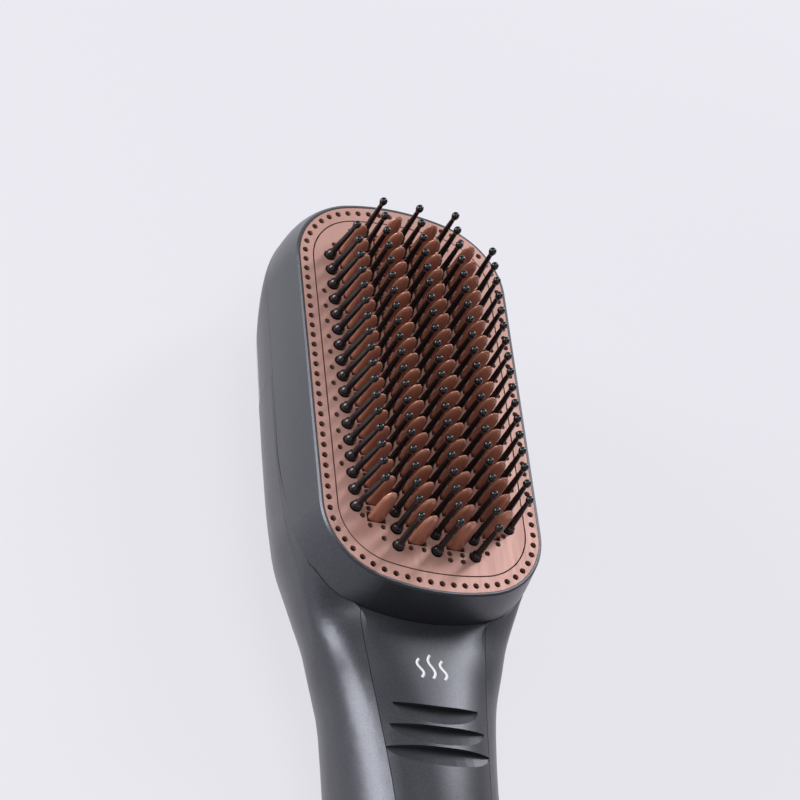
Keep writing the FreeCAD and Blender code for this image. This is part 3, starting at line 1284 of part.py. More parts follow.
def make_tray():
    """Aluminium plate that carries combs and strips and spreads the heat."""
    body = new_body("tray_body")
    base = outline_sketch(body, "tray_outline", "groove", "(-sizes.pan_wall / 2 - sizes.fit_gap)",
                          E_TRAY_UNDER)
    pad(body, base, "tray_plate", "sizes.tray_height")
    thread = "sizes.screw_core + 2 * sizes.screw_gap"
    drills = circle_sketch(body, "tray_drills", E_TRAY_UNDER, thread, POST_PLACES + CLAMP_PLACES)
    pocket(body, drills, "tray_threads", "sizes.tray_height - 0.8")
    nozzle = circle_sketch(body, "tray_nozzle", E_TRAY_UNDER, "sizes.nozzle_outer + 0.1", [("0", E_NOZZLE_Y)])
    pocket(body, nozzle, "tray_nozzle_bore")
    return register(body, "heat_tray")


def make_heater():
    """Two PTC heaters under the tray, held by a spring clamp."""
    for name, side in (("ptc_heater_left", -1), ("ptc_heater_right", 1)):
        heater = doc.addObject("Part::Box", name)
        heater.setExpression("Length", E_PTC_WIDTH)
        heater.setExpression("Width", E_PTC_LENGTH)
        heater.setExpression("Height", "sizes.ptc_height")
        heater.setExpression("Placement.Base.x", f"({side} - 0.5) * {E_PTC_WIDTH}")
        heater.setExpression("Placement.Base.y", f"-{E_PTC_LENGTH} / 2")
        heater.setExpression("Placement.Base.z", f"{E_TRAY_UNDER} - sizes.ptc_height")
        register(heater, name)
    body = new_body("clamp_body")
    level = f"{E_TRAY_UNDER} - sizes.ptc_height - sizes.clamp_sheet"
    base = box_sketch(body, "clamp_outline", level, E_CLAMP_WIDTH, f"{E_PTC_LENGTH} - 6")
    pad(body, base, "clamp_plate", "sizes.clamp_sheet")
    drills = circle_sketch(body, "clamp_drills", level, "sizes.screw_core + 2 * sizes.fit_gap", CLAMP_PLACES)
    pocket(body, drills, "clamp_holes")
    register(body, "heater_clamp")


def make_sensors():
    """Thermistor and thermal fuse against the tray's underside, beside the heaters."""
    x = HALF_WIDTH - size("ring_side") - size("pan_wall") / 2 - 5
    bead = block((-x - 2, -x + 2), (8, 18), (TRAY_UNDER - 3, TRAY_UNDER))
    register(feature("sensor", bead.makeFillet(0.8, bead.Edges[:4])), "thermistor")
    saddle = block((x - 2, x + 2), (6, 18), (TRAY_UNDER - 2, TRAY_UNDER))
    barrel = along_tube(x, 5, 19, TRAY_UNDER - 2.4, 1.9)
    register(feature("fuse", saddle.fuse(barrel).removeSplitter()), "thermal_fuse")


def make_ionizer():
    """Ion module on the bulkhead and its needle in the ring's channel."""
    bay, outside = socket_end(), HEAD_HALF - 13.9
    module = block((-outside, -SOCKET_FLANGE - 1), (bay - 24, bay), (8, 20))
    register(feature("ion_box", module.makeFillet(1.5, module.Edges[:4])), "ion_module")
    y = HALF_LENGTH - 2.5
    holder = round_post(0, y, 1.3, FLANGE_UNDER - 2, FLANGE_TOP + 3.5)
    register(feature("holder", holder.cut(round_post(0, y, 0.42, 0, 90))), "needle_holder")
    register(feature("needle", round_post(0, y, 0.4, FLANGE_UNDER - 3, FLANGE_TOP + 5.5)), "ion_needle")


# Controls, screws and cord end ------------------------------------------------------------------
def make_board():
    """Control board with its switches and the relay and transformer below."""
    top, bottom = board_ends()
    half, level, thick = size("board_width") / 2, BOARD_UNDER, size("board_sheet")
    body = block((-half, half), (bottom, top), (level, level + thick))
    surface = level + thick
    parts = []
    for index in range(3):
        y = button_place(index)
        parts += [block((-3, 3), (y - 3, y + 3), (surface, surface + 3.4)),
                  round_post(0, y, 1.6, surface + 3, surface + 4.2)]
    parts.append(block((-2, 2), (lens_place() - 1.5, lens_place() + 1.5), (surface, surface + 2)))
    parts.append(block((-8, 8), (button_place(1) - 9, button_place(1) + 9), (level - 12, level)))
    parts.append(block((-5, 5), (button_place(2) - 9, button_place(2) + 5), (level - 9, level)))
    drills = [round_post(x, y, FREE_RADIUS, level - 1, surface + 1) for x, y in board_screw_places()]
    body = body.multiFuse(parts).cut(drills)
    register(feature("board", body.removeSplitter()), "control_board")


BUTTONS = ("steam_button", "temperature_button", "power_button")


def make_button(index, name):
    """Turned button: cap, retaining flange under the cover and stem over its switch."""
    body = new_body(name + "_body")
    face = f"{E_HANDLE_TOP} + sizes.button_rise"
    cap, rim, stem = "sizes.button / 2", "sizes.button / 2 + 1.5", "2.2"
    flange = f"{E_HANDLE_TOP} - sizes.wall - sizes.flange_slope * ({rim})"
    foot = f"{E_BOARD_TOP} + 4.3 + sizes.button_travel"
    outline = [("0", foot), (stem, foot), (stem, f"{flange} - 1.5"), (rim, f"{flange} - 1.5"), (rim, flange),
               (cap, flange), (cap, f"{face} - 0.9"), (f"{cap} - 0.9", face), ("0", face)]
    turned = profile_sketch(body, name + "_profile", outline)
    turned.setExpression("AttachmentOffset.Base.z", f"{Y_RIM} + sizes.controls_start + 24.6"
                         f" + {index} * sizes.button_pitch")
    revolve(body, turned, name + "_turned")
    return register(body, name)


def make_lens():
    """Clear window over the indicator lamps."""
    y, reach = lens_place(), 8.5
    under = HANDLE_TOP - size("wall") - size("flange_slope") * reach
    window = block((-7, 7), (y - 2.5, y + 2.5), (under - 1, HANDLE_TOP - 0.1))
    flange = block((-reach, reach), (y - 4, y + 4), (under - 1, under))
    register(feature("window", window.fuse(flange).removeSplitter()), "indicator_lens")


def screw(x, y, seat_level, length):
    """Screw driven upwards, its head under the seat."""
    head = size("screw_head_height")
    shape = round_post(x, y, HEAD_RADIUS, seat_level - head, seat_level)
    shape = shape.fuse(round_post(x, y, SCREW_RADIUS, seat_level - 0.1, seat_level + length))
    slot = block((x - 0.4, x + 0.4), (y - 1.3, y + 1.3), (seat_level - head - 1, seat_level - head + 0.8))
    cross = block((x - 1.3, x + 1.3), (y - 0.4, y + 0.4), (seat_level - head - 1, seat_level - head + 0.8))
    return shape.cut([slot, cross]).removeSplitter()


def make_screws():
    posts = [(side * (HALF_WIDTH - size("ring_side") - size("pan_wall") / 2 - size("post") / 2 - 1.5),
              end * (HALF_LENGTH - 25.4)) for side in (-1, 1) for end in (-1, 1)]
    pan_seat = PAN_FLOOR
    clamp_seat = TRAY_UNDER - size("ptc_height") - size("clamp_sheet")
    board = BOARD_UNDER
    groups = {
        "tray_screws": [screw(x, y, pan_seat, TRAY_UNDER - pan_seat + 2.2) for x, y in posts],
        "clamp_screws": [screw(0, end * 0.7 * (HALF_LENGTH - size("ptc_end")), clamp_seat,
                               TRAY_UNDER - clamp_seat + 2.2) for end in (-1, 0, 1)],
        "board_screws": [screw(x, y, board, 6.5) for x, y in board_screw_places()],
        "handle_screws": [screw(x, y, 12, 27) for x, y in handle_screw_places()],
    }
    for name, solids in groups.items():
        register(feature(name + "_group", Part.makeCompound(solids)), name)


def turned_end(name, points):
    """Part turned about the handle's end axis from a bound half profile."""
    body = new_body(name + "_body")
    profile = profile_sketch(body, name + "_profile", points, "XY_Plane")
    revolve(body, profile, name + "_turned")
    body.setExpression("Placement.Base.z", "sizes.handle_end_level")
    return register(body, name)


def make_cord_end():
    """End cap with the bearing of the cord swivel, and the swivel."""
    end = f"(-{Y_RIM} - sizes.handle_length)"
    cap, outer = f"{end} - sizes.cap_length", "sizes.handle_end_radius"
    inside = "sizes.handle_end_radius - sizes.wall"
    spigot, hollow = f"{inside} - 0.2", f"{inside} - 2.3"
    bearing = "sizes.journal / 2 + sizes.running_gap"
    turned_end("end_cap", [
        (bearing, cap), (f"{outer} - 4", cap), (f"{outer} - 1", f"{cap} + 2.5"), (outer, f"{cap} + 6"),
        (outer, end), (spigot, end), (spigot, f"{end} + 8"), (hollow, f"{end} + 8"), (hollow, f"{cap} + 5"),
        (bearing, f"{cap} + 5")])
    bore, journal = "sizes.cord_bore / 2", "sizes.journal / 2"
    inner, outer_face = f"{cap} + 5 + sizes.fit_gap", f"{cap} - sizes.fit_gap"
    tip = f"{cap} - sizes.nose_length"
    turned_end("cord_swivel", [
        (bore, tip), (f"{bore} + 2", tip), (f"{journal} - 0.6", f"{outer_face} - 3"),
        (f"{journal} + 2.2", f"{outer_face} - 2"), (f"{journal} + 2.2", outer_face), (journal, outer_face),
        (journal, inner), (f"{journal} + 2", inner), (f"{journal} + 2", f"{inner} + 2"),
        (bore, f"{inner} + 2")])


def build():
    make_vent_ring()
    make_vent_plate()
    make_gasket("plate_gasket", ("groove", "sizes.pan_wall / 2"), ("groove", "(-sizes.pan_wall / 2)"),
                f"{E_SHEET_UNDER} - sizes.gasket")
    make_gasket("rim_gasket", ("rim", "0"), ("rim", "(-sizes.skirt)"), f"{E_SKIRT_END} - sizes.gasket")
    for name, (place, lacking, lean) in COLUMNS.items():
        make_strip(name, place, lacking, lean)
    for name, (place, lacking) in COMBS.items():
        make_comb(name, place, lacking)
    make_pan()
    make_tray()
    make_heater()
    make_sensors()
    make_nozzle()
    make_front_housing()
    make_shells()
    make_boiler()
    make_ionizer()
    make_board()
    for index, name in enumerate(BUTTONS):
        make_button(index, name)
    make_lens()
    make_screws()
    make_cord_end()


def check_and_write():
    """Stops on any failed object, then writes one STEP file per node."""
    doc.recompute()
    for obj in doc.Objects:
        if "Invalid" in obj.State or "Error" in obj.State:
            raise RuntimeError(f"{obj.Name} failed: {obj.State}")
    for node in nodes:
        if node.Shape.isNull() or not node.Shape.isValid():
            raise RuntimeError(f"{node.Label} has no valid shape")
    os.makedirs("parts", exist_ok=True)
    for node in nodes:
        node.Shape.exportStep(f"parts/{node.Label}.step")


build()
check_and_write()
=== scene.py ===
"""Steam hair straightener brush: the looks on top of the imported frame. Millimetre sizes, metre scene."""
import math
import bmesh
import bpy
from mathutils import Matrix, Vector


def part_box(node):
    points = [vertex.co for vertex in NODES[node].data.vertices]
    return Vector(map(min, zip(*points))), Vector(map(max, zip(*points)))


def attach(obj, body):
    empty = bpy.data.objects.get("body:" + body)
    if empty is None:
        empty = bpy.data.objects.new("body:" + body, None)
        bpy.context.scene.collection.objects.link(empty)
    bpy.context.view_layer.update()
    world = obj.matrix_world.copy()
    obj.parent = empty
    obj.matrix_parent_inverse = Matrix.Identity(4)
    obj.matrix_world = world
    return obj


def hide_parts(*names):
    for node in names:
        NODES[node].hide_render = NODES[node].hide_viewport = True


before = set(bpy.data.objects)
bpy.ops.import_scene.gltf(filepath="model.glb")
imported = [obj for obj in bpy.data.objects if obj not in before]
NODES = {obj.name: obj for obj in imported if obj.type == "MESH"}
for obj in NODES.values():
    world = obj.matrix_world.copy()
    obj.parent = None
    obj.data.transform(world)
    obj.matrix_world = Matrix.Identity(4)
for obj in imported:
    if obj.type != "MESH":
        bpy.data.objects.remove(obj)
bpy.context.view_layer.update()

MM = 0.001

PLATE_TOP = 58.0  # height of the plate's surface
ROWS = 21
PITCH = 5.4  # from row to row
SHIFT = 0.9  # middle of the rows, towards the tip of the head
BAR_LOW = 48.5  # underside of the bars that carry bristles and fins
BRISTLE_COLUMNS = {
    # strip node: place across, rows left out at each end, lean towards +X in degrees
    "bristle_strip_left": (-23.0, 2, 8.0),
    "bristle_strip_mid_left": (-11.5, 0, 0.0),
    "bristle_strip_centre": (0.0, 0, 0.0),
    "bristle_strip_mid_right": (11.5, 0, 0.0),
    "bristle_strip_right": (23.0, 2, -3.0),
}
FIN_COLUMNS = {
    # comb node: place across, rows left out at each end
    "heat_comb_left": (-17.25, 1),
    "heat_comb_mid_left": (-5.75, 0),
    "heat_comb_mid_right": (5.75, 0),
    "heat_comb_right": (17.25, 1),
}


# Materials --------------------------------------------------------------------------------------
PLASTIC_IOR = 1.46
COAT_ROUGHNESS = 0.12


def new_material(name):
    mat = bpy.data.materials.new(name)
    mat.use_nodes = True
    nodes = mat.node_tree.nodes
    return mat, nodes, mat.node_tree.links, nodes["Principled BSDF"]


def noise(nodes, links, scale, detail=3.0, roughness=0.5):
    """Noise that sits on the object, so it moves with its body."""
    place = nodes.new("ShaderNodeTexCoord")
    texture = nodes.new("ShaderNodeTexNoise")
    texture.inputs["Scale"].default_value = scale
    texture.inputs["Detail"].default_value = detail
    texture.inputs["Roughness"].default_value = roughness
    links.new(place.outputs["Object"], texture.inputs["Vector"])
    return texture.outputs["Fac"]


def ramp(nodes, links, source, stops):
    """Turns a source value into colours through stops of place and colour."""
    colours = nodes.new("ShaderNodeValToRGB")
    elements = colours.color_ramp.elements
    while len(elements) < len(stops):
        elements.new(0.5)
    for element, (place, colour) in zip(elements, stops):
        element.position = place
        element.color = (*colour, 1.0)
    links.new(source, colours.inputs["Fac"])
    return colours.outputs["Color"]


def grey(value):
    return (value, value, value)


def bumps(nodes, links, shader, heights):
    """Chains fine bumps, each a height source with its strength and depth in millimetres."""
    normal = None
    for source, strength, depth in heights:
        bump = nodes.new("ShaderNodeBump")
        bump.inputs["Strength"].default_value = strength
        bump.inputs["Distance"].default_value = depth * MM
        links.new(source, bump.inputs["Height"])
        if normal:
            links.new(normal, bump.inputs["Normal"])
        normal = bump.outputs["Normal"]
    links.new(normal, shader.inputs["Normal"])


def plain(name, dark, light, rough, metallic=0.0, grain=900.0, bump=0.2, depth=0.02, mottle=60.0,
          coat=0.0, clear=0.0):
    """A moulded, painted or metal surface: mottled colour, uneven gloss and fine grain."""
    mat, nodes, links, shader = new_material(name)
    wide = noise(nodes, links, mottle)
    fine = noise(nodes, links, grain, 2.0, 0.6)
    colour = ramp(nodes, links, wide, [(0.35, dark), (0.65, light)])
    links.new(colour, shader.inputs["Base Color"])
    gloss = ramp(nodes, links, fine, [(0.3, grey(rough * 0.88)), (0.7, grey(rough * 1.12))])
    links.new(gloss, shader.inputs["Roughness"])
    shader.inputs["Metallic"].default_value = metallic
    shader.inputs["IOR"].default_value = PLASTIC_IOR
    shader.inputs["Coat Weight"].default_value = coat
    shader.inputs["Coat Roughness"].default_value = COAT_ROUGHNESS
    shader.inputs["Transmission Weight"].default_value = clear
    bumps(nodes, links, shader, [(fine, bump, depth)])
    return mat


def metallic_paint():
    """Dark blue-grey lacquer with very fine flakes under a satin clear coat."""
    mat, nodes, links, shader = new_material("housing_paint")
    place = nodes.new("ShaderNodeTexCoord")
    flakes = nodes.new("ShaderNodeTexVoronoi")
    flakes.inputs["Scale"].default_value = 9000.0
    links.new(place.outputs["Object"], flakes.inputs["Vector"])
    separate = nodes.new("ShaderNodeSeparateColor")
    links.new(flakes.outputs["Color"], separate.inputs["Color"])
    shades = [(0.0, (0.050, 0.052, 0.061)), (0.8, (0.067, 0.069, 0.080)), (1.0, (0.105, 0.107, 0.122))]
    colour = ramp(nodes, links, separate.outputs["Red"], shades)
    links.new(colour, shader.inputs["Base Color"])
    gloss = ramp(nodes, links, separate.outputs["Green"], [(0.0, grey(0.33)), (1.0, grey(0.40))])
    links.new(gloss, shader.inputs["Roughness"])
    shader.inputs["Metallic"].default_value = 0.7
    shader.inputs["Coat Weight"].default_value = 0.1
    shader.inputs["Coat Roughness"].default_value = 0.22
    peel = noise(nodes, links, 300.0, 2.0)
    bumps(nodes, links, shader, [(peel, 0.06, 0.02), (separate.outputs["Blue"], 0.03, 0.003)])
    return mat


def rose_metal(name, dark, light, rough):
    """Satin rose-gold finish on aluminium with a faint brushed grain along the head."""
    mat, nodes, links, shader = new_material(name)
    place = nodes.new("ShaderNodeTexCoord")
    stretch = nodes.new("ShaderNodeMapping")
    stretch.inputs["Scale"].default_value = (900.0, 60.0, 900.0)
    links.new(place.outputs["Object"], stretch.inputs["Vector"])
    grain = nodes.new("ShaderNodeTexNoise")
    grain.inputs["Scale"].default_value = 1.0
    links.new(stretch.outputs["Vector"], grain.inputs["Vector"])
    wide = noise(nodes, links, 45.0)
    colour = ramp(nodes, links, wide, [(0.3, dark), (0.7, light)])
    links.new(colour, shader.inputs["Base Color"])
    sheen = [(0.3, grey(rough * 0.85)), (0.7, grey(rough * 1.15))]
    gloss = ramp(nodes, links, grain.outputs["Fac"], sheen)
    links.new(gloss, shader.inputs["Roughness"])
    shader.inputs["Metallic"].default_value = 0.35
    speckle = noise(nodes, links, 2200.0, 1.0)
    bumps(nodes, links, shader, [(grain.outputs["Fac"], 0.08, 0.01), (speckle, 0.12, 0.008)])
    return mat


def make_materials():
    return {
        "paint": metallic_paint(),
        "rose": rose_metal("rose_plate", (0.42, 0.235, 0.195), (0.48, 0.272, 0.232), 0.45),
        "copper": plain("copper_fin", (0.44, 0.185, 0.120), (0.50, 0.215, 0.145), 0.24, metallic=0.4,
                        coat=0.3, grain=3000.0, bump=0.02, depth=0.001, mottle=25.0),
        "black": plain("bristle_black", (0.004, 0.004, 0.005), (0.008, 0.008, 0.009), 0.13, grain=1500.0,
                       bump=0.04, depth=0.01),
        "rubber": plain("seal_rubber", (0.02, 0.02, 0.02), (0.035, 0.035, 0.036), 0.7),
        "resin": plain("heat_resin", (0.02, 0.02, 0.022), (0.032, 0.032, 0.034), 0.5),
        "aluminium": plain("aluminium_sheet", (0.55, 0.55, 0.56), (0.68, 0.68, 0.69), 0.32, metallic=1.0),
        "ceramic": plain("white_ceramic", (0.66, 0.63, 0.58), (0.76, 0.73, 0.69), 0.5),
        "steel": plain("zinc_steel", (0.42, 0.42, 0.44), (0.56, 0.56, 0.57), 0.28, metallic=1.0),
        "brass": plain("turned_brass", (0.60, 0.43, 0.18), (0.70, 0.52, 0.24), 0.25, metallic=1.0),
        "silicone": plain("silicone_hose", (0.62, 0.60, 0.57), (0.72, 0.70, 0.67), 0.45, clear=0.3),
        "grey": plain("moulded_grey", (0.10, 0.105, 0.11), (0.14, 0.145, 0.15), 0.42),
        "board": plain("solder_mask", (0.012, 0.09, 0.04), (0.02, 0.14, 0.06), 0.3),
        "smoke": plain("smoke_tank", (0.30, 0.31, 0.33), (0.36, 0.37, 0.40), 0.12, clear=0.85,
                       depth=0.005),
        "lens": plain("clear_lens", (0.72, 0.74, 0.78), (0.80, 0.82, 0.85), 0.08, clear=0.9, depth=0.003),
        "button": plain("button_satin", (0.050, 0.053, 0.060), (0.075, 0.078, 0.086), 0.3, metallic=0.5,
                        coat=0.4),
        "print": plain("white_print", (0.78, 0.78, 0.79), (0.86, 0.86, 0.86), 0.45, depth=0.004),
    }


NODE_MATERIALS = {
    "paint": ("front_housing", "rear_shell", "handle_cover", "end_cap"),
    "rose": ("vent_ring", "vent_plate"),
    "rubber": ("plate_gasket", "rim_gasket", "valve_seal", "filler_plug"),
    "resin": ("steam_pan",),
    "aluminium": ("heat_tray", "evaporator"),
    "ceramic": ("ptc_heater_left", "ptc_heater_right", "thermistor", "needle_holder"),
    "steel": ("heater_clamp", "clamp_screws", "tray_screws", "board_screws", "handle_screws",
              "thermal_fuse", "ion_needle"),
    "brass": ("steam_nozzle",),
    "silicone": ("steam_hose", "pump_hose", "water_hose"),
    "grey": ("water_pump", "valve_socket", "ion_module", "tank_valve"),
    "board": ("control_board",),
    "smoke": ("water_tank",),
    "lens": ("indicator_lens",),
    "button": ("steam_button", "temperature_button", "power_button"),
    "black": ("cord_swivel",),
}


def dress_nodes(materials):
    """Gives each carried-over CAD node its material."""
    for key, names in NODE_MATERIALS.items():
        for name in names:
            data = NODES[name].data
            data.materials.clear()
            data.materials.append(materials[key])


# Meshes -----------------------------------------------------------------------------------------
def mesh_object(name, verts, faces, material, body="brush"):
    """A smooth-shaded piece from millimetre points, riding on a body."""
    data = bpy.data.meshes.new(name)
    data.from_pydata([Vector(v) * MM for v in verts], [], faces)
    data.validate()
    work = bmesh.new()
    work.from_mesh(data)
    bmesh.ops.recalc_face_normals(work, faces=work.faces)
    work.to_mesh(data)
    work.free()
    data.materials.append(material)
    for face in data.polygons:
        face.use_smooth = True
    obj = bpy.data.objects.new(name, data)
    bpy.context.scene.collection.objects.link(obj)
    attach(obj, body)
    return obj


def loft(rings, verts, faces):
    """Adds a closed skin through rings of equal point count, with a cap on each end."""
    start = len(verts)
    count = len(rings[0])
    for ring in rings:
        verts.extend(ring)
    for level in range(len(rings) - 1):
        for step in range(count):
            a = start + level * count + step
            b = start + level * count + (step + 1) % count
            faces.append((a, b, b + count, a + count))
    faces.append(tuple(range(start + count - 1, start - 1, -1)))
    last = start + (len(rings) - 1) * count
    faces.append(tuple(range(last, last + count)))


def row_place(row):
    """Place along the head of a row counted from the tip; half rows lie between."""
    return ((ROWS + 1) / 2 - row) * PITCH + SHIFT


def oval(x, y, wide, thick, sides, square=1.0):
    """Points round an oval in plan; a square below 1 fills it out across the head."""
    points = []
    for step in range(sides):
        turn = math.tau * step / sides
        across = math.copysign(abs(math.cos(turn)) ** square, math.cos(turn))
        points.append((x + wide * across, y + thick * math.sin(turn)))
    return points


def at_height(points, height):
    return [(x, y, height) for x, y in points]


PIN_SIDES = 18
PIN_PROFILE = (
    # height above the plate, radius
    (-1.2, 1.5), (0.0, 1.5), (0.9, 1.5), (1.5, 1.46), (1.8, 1.3), (2.1, 1.08), (2.6, 0.98), (4.5, 0.93),
    (7.0, 0.86), (9.5, 0.79), (11.5, 0.73), (12.9, 0.68), (13.6, 0.66), (14.0, 0.72), (14.35, 0.88),
    (14.75, 1.05), (15.15, 1.14), (15.45, 1.15), (15.8, 1.09), (16.1, 0.95), (16.35, 0.71), (16.5, 0.40),
    (16.55, 0.12),
)
BAR_HALF = 2.2  # half width of a bristle bar
BAR_DEPTH = 1.2  # from the plate's surface down to a bristle bar's top
BAR_STEPS = 12  # steps round each end of a bristle bar


def bar_outline(place, first, last):
    """Plan of a bristle bar, with a round end about its first and its last row."""
    outline = []
    for centre, start in ((first, 0.0), (last, math.pi)):
        for step in range(BAR_STEPS + 1):
            turn = start + math.pi * step / BAR_STEPS
            outline.append((place + BAR_HALF * math.cos(turn), centre + BAR_HALF * math.sin(turn)))
    return outline


def bristle_strip(name, place, lacking, lean, material):
    """A column of ball-tipped bristles on the bar that carries them."""
    verts, faces = [], []
    slope = math.tan(math.radians(lean))
    for row in range(1 + lacking, ROWS + 1 - lacking):
        y = row_place(row)
        rings = []
        for height, radius in PIN_PROFILE:
            x = place + slope * max(height, 0)
            rings.append(at_height(oval(x, y, radius, radius, PIN_SIDES), PLATE_TOP + height))
        loft(rings, verts, faces)
    outline = bar_outline(place, row_place(1 + lacking), row_place(ROWS - lacking))
    loft([at_height(outline, z) for z in (BAR_LOW, PLATE_TOP - BAR_DEPTH)], verts, faces)
    obj = mesh_object(name + "_pins", verts, faces, material)
    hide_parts(name)


FIN_SIDES = 28
FIN_HEIGHT = 12.6
FIN_WIDE = 2.45  # half width across the head, at the foot
FIN_THICK = 1.38  # half thickness along the head, at the foot
FIN_WIDE_LOSS = 0.62  # taken off the half width towards the tip
FIN_THICK_LOSS = 0.50  # taken off the half thickness towards the tip
FIN_SHOULDER = 0.70  # share of the height where the tip starts to round off
FIN_SQUARE = 0.92
FIN_SHARES = (-0.12, 0.0, 0.08, 0.2, 0.35, 0.5, 0.62, 0.72, 0.80, 0.87, 0.925, 0.965, 0.988, 0.998)
FIN_BAR_TOP = 52.0
STEM_LOW = 51.9  # stems join the fins to their bar
STEM_DEPTH = 1.5  # from the plate's surface down to a stem's top
STEM_THICK = 1.3
STEM_SIDES = 20


def fin_rings(x, y):
    """Petal-shaped fin: oval in plan, slightly narrower upwards, with a rounded tip."""
    rings = []
    for share in FIN_SHARES:
        rise = max(share, 0.0)
        past = max((rise - FIN_SHOULDER) / (1 - FIN_SHOULDER), 0)
        dome = math.sqrt(max(1 - past ** 2.2, 0.0))
        wide = (FIN_WIDE - FIN_WIDE_LOSS * rise ** 1.5) * dome
        thick = (FIN_THICK - FIN_THICK_LOSS * rise) * dome
        plan = oval(x, y, wide, thick, FIN_SIDES, FIN_SQUARE)
        rings.append(at_height(plan, PLATE_TOP + share * FIN_HEIGHT))
    return rings


def fin_comb(name, place, lacking, material):
    """A column of heated fins, their bar and the stems between."""
    verts, faces = [], []
    rows = [row + 0.5 for row in range(1 + lacking, ROWS - lacking)]
    for row in rows:
        loft(fin_rings(place, row_place(row)), verts, faces)
    low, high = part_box(name)
    near, far = low[1] / MM, high[1] / MM
    half = (high[0] - low[0]) / MM / 2
    bar = [(place - half, near), (place + half, near), (place + half, far), (place - half, far)]
    loft([at_height(bar, z) for z in (BAR_LOW, FIN_BAR_TOP)], verts, faces)
    for row in rows:
        stem = oval(place, row_place(row), FIN_WIDE, STEM_THICK, STEM_SIDES)
        loft([at_height(stem, z) for z in (STEM_LOW, PLATE_TOP - STEM_DEPTH)], verts, faces)
    obj = mesh_object(name + "_fins", verts, faces, material)
    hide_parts(name)


# Print ------------------------------------------------------------------------------------------
PRINT_DEPTH = 0.03  # thickness of the print, and its lift off the surface
STROKE_STEPS = 24
RAY_START = 0.2  # metres, above the whole brush
MARK_START = -86.5  # end of the steam sign that is nearer the cord
MARK_PITCH = 3.4
MARK_SWING = 0.8
MARK_LENGTHS = (6.0, 7.5, 6.0)
MARK_WIDTH = 0.75


def drop(node, x, y):
    """Height of a node's upper surface at a place, in millimetres."""
    obj = NODES[node]
    hit, spot, _, _ = obj.ray_cast(Vector((x * MM, y * MM, RAY_START)), Vector((0, 0, -1)))
    return spot.z / MM if hit else PLATE_TOP


def printed_line(name, node, points, width, material, body="brush"):
    """Thin printed stroke that follows a node's surface."""
    verts, faces = [], []
    for index, (x, y) in enumerate(points):
        before, after = points[max(index - 1, 0)], points[min(index + 1, len(points) - 1)]
        along = Vector((after[0] - before[0], after[1] - before[1])).normalized()
        across = Vector((-along.y, along.x)) * width / 2
        for sign in (1, -1):
            px, py = x + sign * across.x, y + sign * across.y
            verts.append((px, py, drop(node, px, py) + PRINT_DEPTH))
    for index in range(len(points) - 1):
        a = 2 * index
        faces.append((a, a + 1, a + 3, a + 2))
    obj = mesh_object(name, verts, faces, material, body)
    solid = obj.modifiers.new("thickness", "SOLIDIFY")
    solid.thickness = PRINT_DEPTH * MM


def wave_points(x, y, swing, length):
    """Points along one full wave that rises along the handle."""
    shares = [step / STROKE_STEPS for step in range(STROKE_STEPS + 1)]
    return [(x + swing * math.sin(math.tau * share), y + length * share) for share in shares]


def arc_points(x, y, radius, start, stop):
    """Points along a circle between two angles in degrees."""
    turns = [math.radians(start + (stop - start) * k / STROKE_STEPS) for k in range(STROKE_STEPS + 1)]
    return [(x + radius * math.cos(turn), y + radius * math.sin(turn)) for turn in turns]


def middle_along(low, high):
    """Middle of a box along the handle, in millimetres."""
    return (low[1] + high[1]) / 2 / MM


def steam_mark(material):
    """Three rising wavy lines on the neck, a plain sign for steam."""
    for index, length in enumerate(MARK_LENGTHS):
        points = wave_points(MARK_PITCH * (index - 1), MARK_START, MARK_SWING, length)
        printed_line(f"steam_mark_{index}", "handle_cover", points, MARK_WIDTH, material)


def button_marks(material):
    """Plain signs: a wave for steam, a thermometer for heat, a broken ring with a bar for power."""
    y = middle_along(*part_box("steam_button"))
    wave = wave_points(0, y - 2.4, 0.7, 4.8)
    printed_line("steam_button_mark", "steam_button", wave, 0.6, material, "steam_key")
    y = middle_along(*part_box("temperature_button"))
    bulb = arc_points(0, y - 1.5, 0.9, 90, 450)
    printed_line("temperature_button_bulb", "temperature_button", bulb, 0.5, material, "temperature_key")
    tube = [(0, y - 0.6), (0, y + 1.0), (0, y + 2.6)]
    printed_line("temperature_button_tube", "temperature_button", tube, 0.6, material, "temperature_key")
    y = middle_along(*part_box("power_button"))
    ring = arc_points(0, y, 2.1, 125, 415)
    printed_line("power_button_ring", "power_button", ring, 0.55, material, "power_key")
    bar = [(0, y + 0.6), (0, y + 1.6), (0, y + 2.7)]
    printed_line("power_button_bar", "power_button", bar, 0.6, material, "power_key")


# Stage ------------------------------------------------------------------------------------------
FLOOR_HALF = 6.0
FLOOR_GLOW = 0.8
WORLD_STRENGTH = 0.30
LIGHTS = (
    # name, place, target, width and height in metres, watts, colour
    ("left_softbox", (-1.00, 0.34, 0.36), (0, -0.02, 0.03), (0.60, 0.7), 13.0, (0.98, 0.98, 1.0)),
    ("right_softbox", (0.70, 0.62, 0.60), (0, -0.02, 0.03), (0.22, 1.0), 7.0, (0.98, 0.98, 1.0)),
    ("top_softbox", (-0.15, -0.15, 1.30), (0, 0, 0.05), (0.8, 0.8), 6.0, (1.0, 1.0, 1.0)),
)
CAMERA_LENS = 115.9
CAMERA_SENSOR = 36.0
CAMERA_PLACE = (-280.98, -415.54, 586.80)
CAMERA_RIGHT = (0.91174, -0.09659, 0.39926)
CAMERA_UP = (-0.15637, 0.81716, 0.55479)


